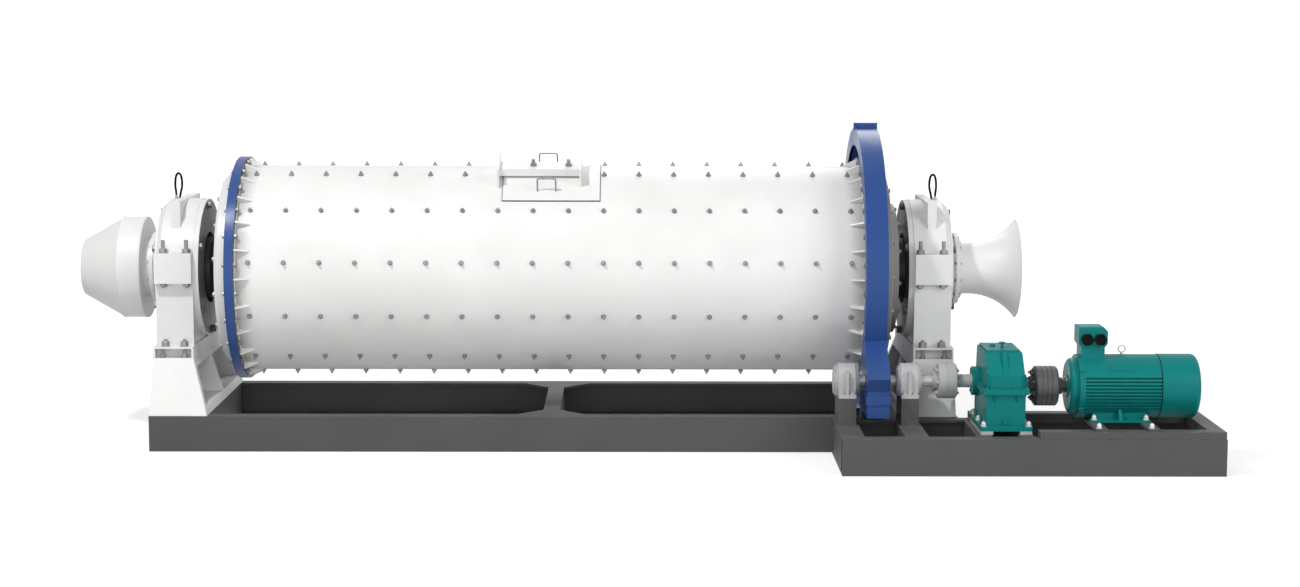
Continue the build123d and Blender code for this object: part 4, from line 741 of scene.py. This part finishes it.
def bearing_bolts():
    """Ear studs and foot nuts of both main bearings, and six dark bolts in each cover."""
    cover_bolt = fastener("cover_bolt_head", radius=0.028, height=0.022)
    stud = fastener("ear_stud_nut", radius=0.029, height=0.028, stud=0.064, bar=0.0145)
    under = fastener("ear_under_nut", radius=0.027, height=0.020, stud=0.010)
    foot = fastener("foot_nut", radius=0.029, height=0.034, stud=0.014)
    inner_cover = 0.039           # how far each cover stands out from the bearing
    outer_cover = 0.018
    ear_top = DRUM_Z + 0.163
    ear_under = DRUM_Z - 0.060
    bm = bmesh.new()
    dark = bmesh.new()
    for middle, side in MAIN_BEARINGS:
        inner = middle - side * (BEARING_HALF + inner_cover)
        outer = middle + side * (BEARING_HALF + outer_cover)
        bolt_ring(dark, cover_bolt, inner, -side, radius=0.474, count=6, first=-5)
        bolt_ring(dark, cover_bolt, outer, side, radius=0.426, count=6, first=-5)
        for x, y in bearing_corners(middle, side, outward=0.071, inward=0.098, reach=0.540):
            stamp(bm, stud, (x, y, ear_top), UP)
            stamp(bm, under, (x, y, ear_under), DOWN)
        for x, y in bearing_corners(middle, side, outward=0.062, inward=0.076, reach=0.566):
            stamp(bm, foot, (x, y, FOOT_TOP), UP)
    finish_piece(bm, "main_bearing_bolts", "root", bolt_steel)
    finish_piece(dark, "bearing_cover_bolts", "root", dark_nut)


def trunnion_seals_as_shade():
    """Black seals that close the gap between each trunnion and the drum-side cover, black also as painted
    shade in that gap.
    """
    bore = 0.238
    rim = 0.2675
    rise = 0.014
    overlap = 0.001
    bm = bmesh.new()
    for middle, side in MAIN_BEARINGS:
        face = middle - side * (BEARING_HALF + rise)
        back = middle - side * (BEARING_HALF - overlap)
        drum_ring(bm, [(bore, back), (bore, face), (rim, face), (rim, back)], steps=64)
    close_up(bm)
    finish_piece(bm, "trunnion_seals_as_shade", "root", black)


def hose_mesh(route):
    """A round hose along points given in the plane of the drum's axis."""
    line = bpy.data.curves.new("hose_line", "CURVE")
    line.dimensions = "3D"
    line.bevel_depth = HOSE_R
    line.bevel_resolution = 3
    line.use_fill_caps = True
    spline = line.splines.new("NURBS")
    spline.points.add(len(route) - 1)
    for point, (x, z) in zip(spline.points, route):
        point.co = (x, 0, z, 1)
    spline.order_u = 3
    spline.use_endpoint_u = True
    spline.resolution_u = 6
    holder = bpy.data.objects.new("hose_line", line)
    mesh = bpy.data.meshes.new_from_object(holder)
    bpy.data.objects.remove(holder)
    return mesh


def oil_hoses():
    """Black oil hose looped over each main bearing, with its fitting on the cap."""
    loop = [(0, 0.004), (0, 0.040), (0.009, 0.095), (0.002, 0.172), (-0.019, 0.193), (-0.040, 0.172),
            (-0.047, 0.095), (-0.030, 0.035), (-0.025, -0.002)]
    body = [(0.015, 0), (0.015, 0.010), (0.010, 0.016), (0.010, 0.026), (0, 0.026)]
    fitting = template("hose_fitting", [(body, 12)])
    outward = 0.069               # from the bearing's middle to the fitting
    hoses = bmesh.new()
    fittings = bmesh.new()
    for middle, side in MAIN_BEARINGS:
        foot = middle + side * outward
        hoses.from_mesh(hose_mesh([(foot + side * reach, CROWN_Z + height) for reach, height in loop]))
        stamp(fittings, fitting, (foot, 0, CROWN_Z), UP)
    close_up(hoses)
    piece = finish_piece(hoses, "oil_hoses", "root", black, smooth=60)
    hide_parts("oil_loops")
    finish_piece(fittings, "oil_hose_fittings", "root", pale_grey)


def foot_studs():
    """Studs and lower nuts that show in the open ends of the bearing feet."""
    bar_r = 0.012
    bar_length = 0.068
    bar = template("foot_stud_bar", [([(bar_r, 0), (bar_r, bar_length)], 10)])
    nut = fastener("foot_lower_nut", radius=0.022, height=0.018)
    bm = bmesh.new()
    for middle, side in MAIN_BEARINGS:
        for x, y in bearing_corners(middle, side, outward=0.082, inward=0.078, reach=0.580):
            for shape in (bar, nut):
                stamp(bm, shape, (x, y, FOOT_POCKET_FLOOR), UP)
    finish_piece(bm, "bearing_foot_studs", "root", bolt_steel)


# Fasteners and fittings of the drive

def guard_bolts():
    """Bolts through the flange at the guard's top split, heads in front and nuts behind."""
    head = fastener("guard_bolt_head", radius=0.011, height=0.008)
    nut = fastener("guard_bolt_nut", radius=0.011, height=0.009, stud=0.006)
    flange = 0.012
    along = (2.280, 2.3395, 2.399)
    bm = bmesh.new()
    for x in along:
        stamp(bm, head, (x, -flange, GUARD_SPLIT_Z), FRONT)
        stamp(bm, nut, (x, flange, GUARD_SPLIT_Z), BACK)
    finish_piece(bm, "guard_split_bolts", "root", blue)


def pinion_bolts():
    """Cover screws and foot bolts of the pinion bearings."""
    screw = fastener("pinion_cover_screw", radius=0.009, height=0.007, washer=False)
    foot = fastener("pinion_foot_nut", radius=0.016, height=0.013, stud=0.010)
    half = 0.078
    foot_half = 0.040
    foot_y = PINION_Y - 0.150
    bm = bmesh.new()
    for middle in PINION_BEARINGS:
        for side in (-1, 1):
            face = middle + side * half
            bolt_ring(bm, screw, face, side, radius=0.104, count=6, first=30, y=PINION_Y, z=SHAFT_Z)
        for shift in (-foot_half, foot_half):
            stamp(bm, foot, (middle + shift, foot_y, PINION_FOOT_TOP), UP)
    finish_piece(bm, "pinion_bearing_bolts", "root", pale_grey)


def low_coupling_bolts():
    """Painted bolts through the low-speed coupling's flanges."""
    head = fastener("low_coupling_head", radius=0.016, height=0.016, stud=0.008)
    nut = fastener("low_coupling_nut", radius=0.015, height=0.012, washer=False, stud=0.007)
    bm = bmesh.new()
    for bolt, x, side in ((head, LOW_COUPLING[0], -1), (nut, LOW_COUPLING[1], 1)):
        bolt_ring(bm, bolt, x, side, radius=0.092, count=6, first=30, y=PINION_Y, z=SHAFT_Z)
    finish_piece(bm, "low_coupling_bolts", "pinion", pale_grey)


def high_coupling_pins():
    """Dark pin nuts round the high-speed coupling's face."""
    nut = fastener("coupling_pin_nut", radius=0.018, height=0.016, stud=0.012)
    bm = bmesh.new()
    bolt_ring(bm, nut, HIGH_COUPLING_FACE, -1, radius=0.098, count=8, first=22.5, y=MOTOR_Y, z=SHAFT_Z)
    finish_piece(bm, "high_coupling_pins", "motor_shaft", dark_iron)


def reducer_bolts():
    """Painted split-flange bolts and boss screws of the reducer."""
    bolt = fastener("split_bolt", radius=0.010, height=0.008)
    screw = fastener("boss_screw", radius=0.009, height=0.007, washer=False)
    flange_top = SHAFT_Z + 0.020
    left = REDUCER_X - 0.148
    right = REDUCER_X + 0.148
    front = REDUCER_FRONT - 0.011
    rear = REDUCER_REAR + 0.011
    corner = 0.012
    inner = 0.05
    side_bolts = (REDUCER_FRONT + 0.06, REDUCER_FRONT + 0.13)
    bm = bmesh.new()
    for x in (left + corner, REDUCER_X - inner, REDUCER_X + inner, right - corner):
        for y in (front, rear):
            stamp(bm, bolt, (x, y, flange_top), UP)
    for y in side_bolts:
        for x in (left, right):
            stamp(bm, bolt, (x, y, flange_top), UP)
    slow_boss, fast_boss = REDUCER_BOSSES
    bolt_ring(bm, screw, slow_boss, -1, radius=0.088, count=6, first=30, y=PINION_Y, z=SHAFT_Z)
    bolt_ring(bm, screw, fast_boss, 1, radius=0.066, count=6, first=30, y=MOTOR_Y, z=SHAFT_Z)
    finish_piece(bm, "reducer_bolts", "root", teal)


def domed_nut():
    """Tall domed nut on a washer."""
    dome = [(0.018, 0.004), (0.018, 0.016), (0.0155, 0.026), (0.010, 0.034), (0.004, 0.038), (0, 0.0385)]
    washer = [(0.024, 0), (0.024, 0.004), (0.013, 0.004)]
    return template("domed_nut", [(dome, 12), (washer, 14)])


def reducer_foot_nuts():
    """Pale domed nuts on the reducer's foot."""
    cap = domed_nut()
    half = 0.158
    across = (REDUCER_FRONT - 0.020, REDUCER_FRONT + 0.23, REDUCER_REAR - 0.085)
    bm = bmesh.new()
    for x in (REDUCER_X - half, REDUCER_X + half):
        for y in across:
            stamp(bm, cap, (x, y, REDUCER_FOOT_TOP), UP)
    finish_piece(bm, "reducer_foot_nuts", "root", bright_steel)


def reducer_fittings():
    """Breather and knob on the lid, and the plug low on the front."""
    stem = [(0.013, 0), (0.013, 0.008), (0.007, 0.011), (0.007, 0.024), (0.024, 0.029), (0.026, 0.035),
            (0.018, 0.040), (0, 0.041)]
    low_knob = [(0.020, 0), (0.020, 0.010), (0.014, 0.016), (0, 0.017)]
    breather = template("breather_cap", [(stem, 20)])
    knob = template("lid_knob", [(low_knob, 16)])
    plug = fastener("drain_plug", radius=0.017, height=0.014)
    plug_z = 0.345
    bm = bmesh.new()
    stamp(bm, breather, (REDUCER_X + 0.01, REDUCER_FRONT + 0.30, REDUCER_LID_TOP), UP)
    stamp(bm, knob, (REDUCER_X - 0.05, REDUCER_FRONT + 0.36, REDUCER_LID_TOP), UP)
    stamp(bm, plug, (REDUCER_X - 0.006, REDUCER_FRONT, plug_z), FRONT)
    finish_piece(bm, "reducer_fittings", "root", teal)


def motor_bolts():
    """Domed nuts on the motor's feet and rails, and the end bell's screws."""
    small = fastener("bell_bolt", radius=0.010, height=0.008, washer=False)
    cap = domed_nut()
    bell_face = MOTOR_LEFT - 0.006
    foot_top = RAIL_TOP + 0.016
    foot_half = 0.190
    rail_ends = (DRIVE_FRONT + 0.064, -0.90)
    rail_shift = 0.012
    bm = bmesh.new()
    bolt_ring(bm, small, bell_face, -1, radius=0.068, count=4, first=45, y=MOTOR_Y, z=SHAFT_Z)
    for x in RAILS:
        for y in (MOTOR_Y - foot_half, MOTOR_Y + foot_half):
            stamp(bm, cap, (x, y, foot_top), UP)
        for y in rail_ends:
            stamp(bm, cap, (x - rail_shift, y, RAIL_TOP), UP)
    finish_piece(bm, "motor_bolts", "root", bright_steel)


def on_motor(bm, low, high, edge, turn):
    """A box set on the motor's frame, turned from the top.

    low and high are each X, place across and height above the frame.
    """
    place = Matrix.Translation((0, MOTOR_Y, SHAFT_Z)) @ Matrix.Rotation(radians(turn), 4, "X")
    lift = Matrix.Translation((0, 0, MOTOR_R))
    placed_box(bm, low, high, edge, place @ lift)


def motor_fittings():
    """Blank plate on the frame, clamping ears on the bell's rim, the terminal box's lid and a dark seam."""
    plate_low = (3.945, -0.020, -0.004)
    plate_high = (4.113, 0.020, 0.0035)
    ear_low = (BODY_LEFT - 0.032, -0.030, -0.012)
    ear_high = (BODY_LEFT + 0.010, 0.030, 0.007)
    ear_turns = (48, 132, 228, 312)
    lid_low = (BOX_X - 0.100, MOTOR_Y - 0.0905, BOX_TOP - 0.001)
    lid_high = (BOX_X + 0.074, MOTOR_Y + 0.0905, BOX_TOP + 0.004)
    bm = bmesh.new()
    on_motor(bm, plate_low, plate_high, edge=0.001, turn=48.5)
    for turn in ear_turns:
        on_motor(bm, ear_low, ear_high, edge=0.003, turn=turn)
    box_piece(bm, lid_low, lid_high, edge=0.0015)
    finish_piece(bm, "motor_fittings", "root", teal)
    seam = bmesh.new()
    bead_ring(seam, BODY_RIGHT - 0.002, MOTOR_R + 0.0005, thick=0.0035, y=MOTOR_Y, z=SHAFT_Z, steps=96)
    bmesh.ops.recalc_face_normals(seam, faces=seam.faces)
    finish_piece(seam, "fan_cover_seam", "root", black)


def motor_grille():
    """Slotted air intake in the end of the fan cover, over a black sheet that is painted shade."""
    inner, outer = INTAKE_R
    sheet = 0.0015
    bars_x = FAN_END + 0.003
    hoops = (0.062, 0.084, 0.106, 0.128, 0.150)
    spokes = 8
    # the black sheet behind the bars is painted shade
    back = bmesh.new()
    lathe(back, [(outer, 0), (outer, sheet), (inner, sheet), (inner, 0)], steps=48)
    turn = Matrix.Translation((FAN_END, MOTOR_Y, SHAFT_Z)) @ Matrix.Rotation(pi / 2, 4, "Y")
    bmesh.ops.transform(back, matrix=turn, verts=back.verts)
    bmesh.ops.recalc_face_normals(back, faces=back.faces)
    finish_piece(back, "fan_intake_shade", "root", black)
    bars = bmesh.new()
    for radius in hoops:
        bead_ring(bars, bars_x, radius, thick=0.005, y=MOTOR_Y, z=SHAFT_Z, steps=48)
    for i in range(spokes):
        turn = Matrix.Rotation(2 * pi * i / spokes, 4, "X")
        place = Matrix.Translation((bars_x, MOTOR_Y, SHAFT_Z)) @ turn
        placed_box(bars, (-0.005, -0.003, inner), (0.005, 0.003, outer), edge=0.0012, place=place)
    bmesh.ops.recalc_face_normals(bars, faces=bars.faces)
    finish_piece(bars, "fan_grille_bars", "root", teal)


liner_bolts()
manhole_gasket()
drum_end_bolts()
discharge_plates()
mouth_bolts()
drum_welds()
bearing_bolts()
trunnion_seals_as_shade()
oil_hoses()
foot_studs()
guard_bolts()
pinion_bolts()
low_coupling_bolts()
high_coupling_pins()
reducer_bolts()
reducer_foot_nuts()
reducer_fittings()
motor_bolts()
motor_fittings()
motor_grille()


# Studio

def direct_view(tree):
    """1 for rays from the camera, from mirrors and through glass."""
    path = tree.nodes.new("ShaderNodeLightPath").outputs
    seen = math_node(tree, "MAXIMUM", path["Is Camera Ray"], path["Is Glossy Ray"])
    return math_node(tree, "MAXIMUM", seen, path["Is Transmission Ray"])


def studio_floor():
    """Pale floor that takes the machine's shadow and turns to plain white away from it."""
    bm = bmesh.new()
    bmesh.ops.create_grid(bm, x_segments=1, y_segments=1, size=FLOOR_HALF)
    mesh = bpy.data.meshes.new("floor")
    bm.to_mesh(mesh)
    bm.free()
    material, tree, shader = start_material("pale_floor")
    shader.inputs["Base Color"].default_value = FLOOR_GREY
    shader.inputs["Roughness"].default_value = 0.9
    shader.inputs["Specular IOR Level"].default_value = 0.1
    away = tree.nodes.new("ShaderNodeVectorMath")
    away.operation = "LENGTH"
    tree.links.new(object_place(tree), away.inputs[0])
    near, far = FLOOR_FADE
    white_share = spread(tree, away.outputs["Value"], near, far, FLOOR_GLOW, 1.0)
    glow = tree.nodes.new("ShaderNodeEmission")
    both = tree.nodes.new("ShaderNodeAddShader")
    tree.links.new(math_node(tree, "MULTIPLY", white_share, direct_view(tree)), glow.inputs["Strength"])
    tree.links.new(shader.outputs[0], both.inputs[0])
    tree.links.new(glow.outputs[0], both.inputs[1])
    tree.links.new(both.outputs[0], tree.nodes["Material Output"].inputs["Surface"])
    mesh.materials.append(material)
    floor = bpy.data.objects.new("floor", mesh)
    bpy.context.scene.collection.objects.link(floor)


def studio_world():
    """Even grey light from all round, white where it is looked at."""
    world = bpy.data.worlds.new("studio_sky")
    world.use_nodes = True
    bpy.context.scene.world = world
    tree = world.node_tree
    strength = spread(tree, direct_view(tree), 0.0, 1.0, AMBIENT, 1.0)
    tree.links.new(strength, tree.nodes["Background"].inputs["Strength"])
    tree.nodes["Background"].inputs["Color"].default_value = SKY_WHITE


def lamp(name, place, aim, size, power):
    """A square lamp aimed at a point."""
    light = bpy.data.lights.new(name, "AREA")
    light.size = size
    light.energy = power
    holder = bpy.data.objects.new(name, light)
    holder.location = place
    holder.rotation_euler = (Vector(aim) - Vector(place)).to_track_quat("-Z", "Y").to_euler()
    bpy.context.scene.collection.objects.link(holder)


def photo_camera():
    """Camera at the photograph's place: a long lens, a little above and nearly square to the drum."""
    place = (0.607, -17.521, 3.2329)
    down = radians(7.063)
    swing = radians(0.394)
    roll = radians(0.142)
    forward = Vector((sin(swing) * cos(down), cos(swing) * cos(down), -sin(down)))
    level = Vector((cos(swing), -sin(swing), 0))
    upright = level.cross(forward)
    right = cos(roll) * level + sin(roll) * upright
    up = cos(roll) * upright - sin(roll) * level
    turn = Matrix((right, up, -forward)).transposed().to_4x4()
    camera = bpy.data.cameras.new("photo_camera")
    camera.sensor_width = 36
    camera.sensor_fit = "HORIZONTAL"
    camera.lens = 64.63
    camera.clip_end = 200
    holder = bpy.data.objects.new("photo_camera", camera)
    holder.matrix_world = Matrix.Translation(place) @ turn
    bpy.context.scene.collection.objects.link(holder)
    bpy.context.scene.camera = holder


studio_floor()
studio_world()
lamp("key_lamp", place=(-4.8, -6.4, 11.2), aim=(0.2, 0, 1.0), size=1.0, power=860)
lamp("front_lamp", place=(-1.0, -12.0, 3.2), aim=(-0.3, 0, 1.0), size=7.0, power=330)
lamp("fill_lamp", place=(10.0, -8.0, 5.0), aim=(0.6, 0, 0.9), size=6.0, power=520)
lamp("back_lamp", place=(2.0, 8.0, 8.0), aim=(0, 0, 1.2), size=6.0, power=300)
photo_camera()
bpy.context.scene.view_settings.view_transform = "Standard"
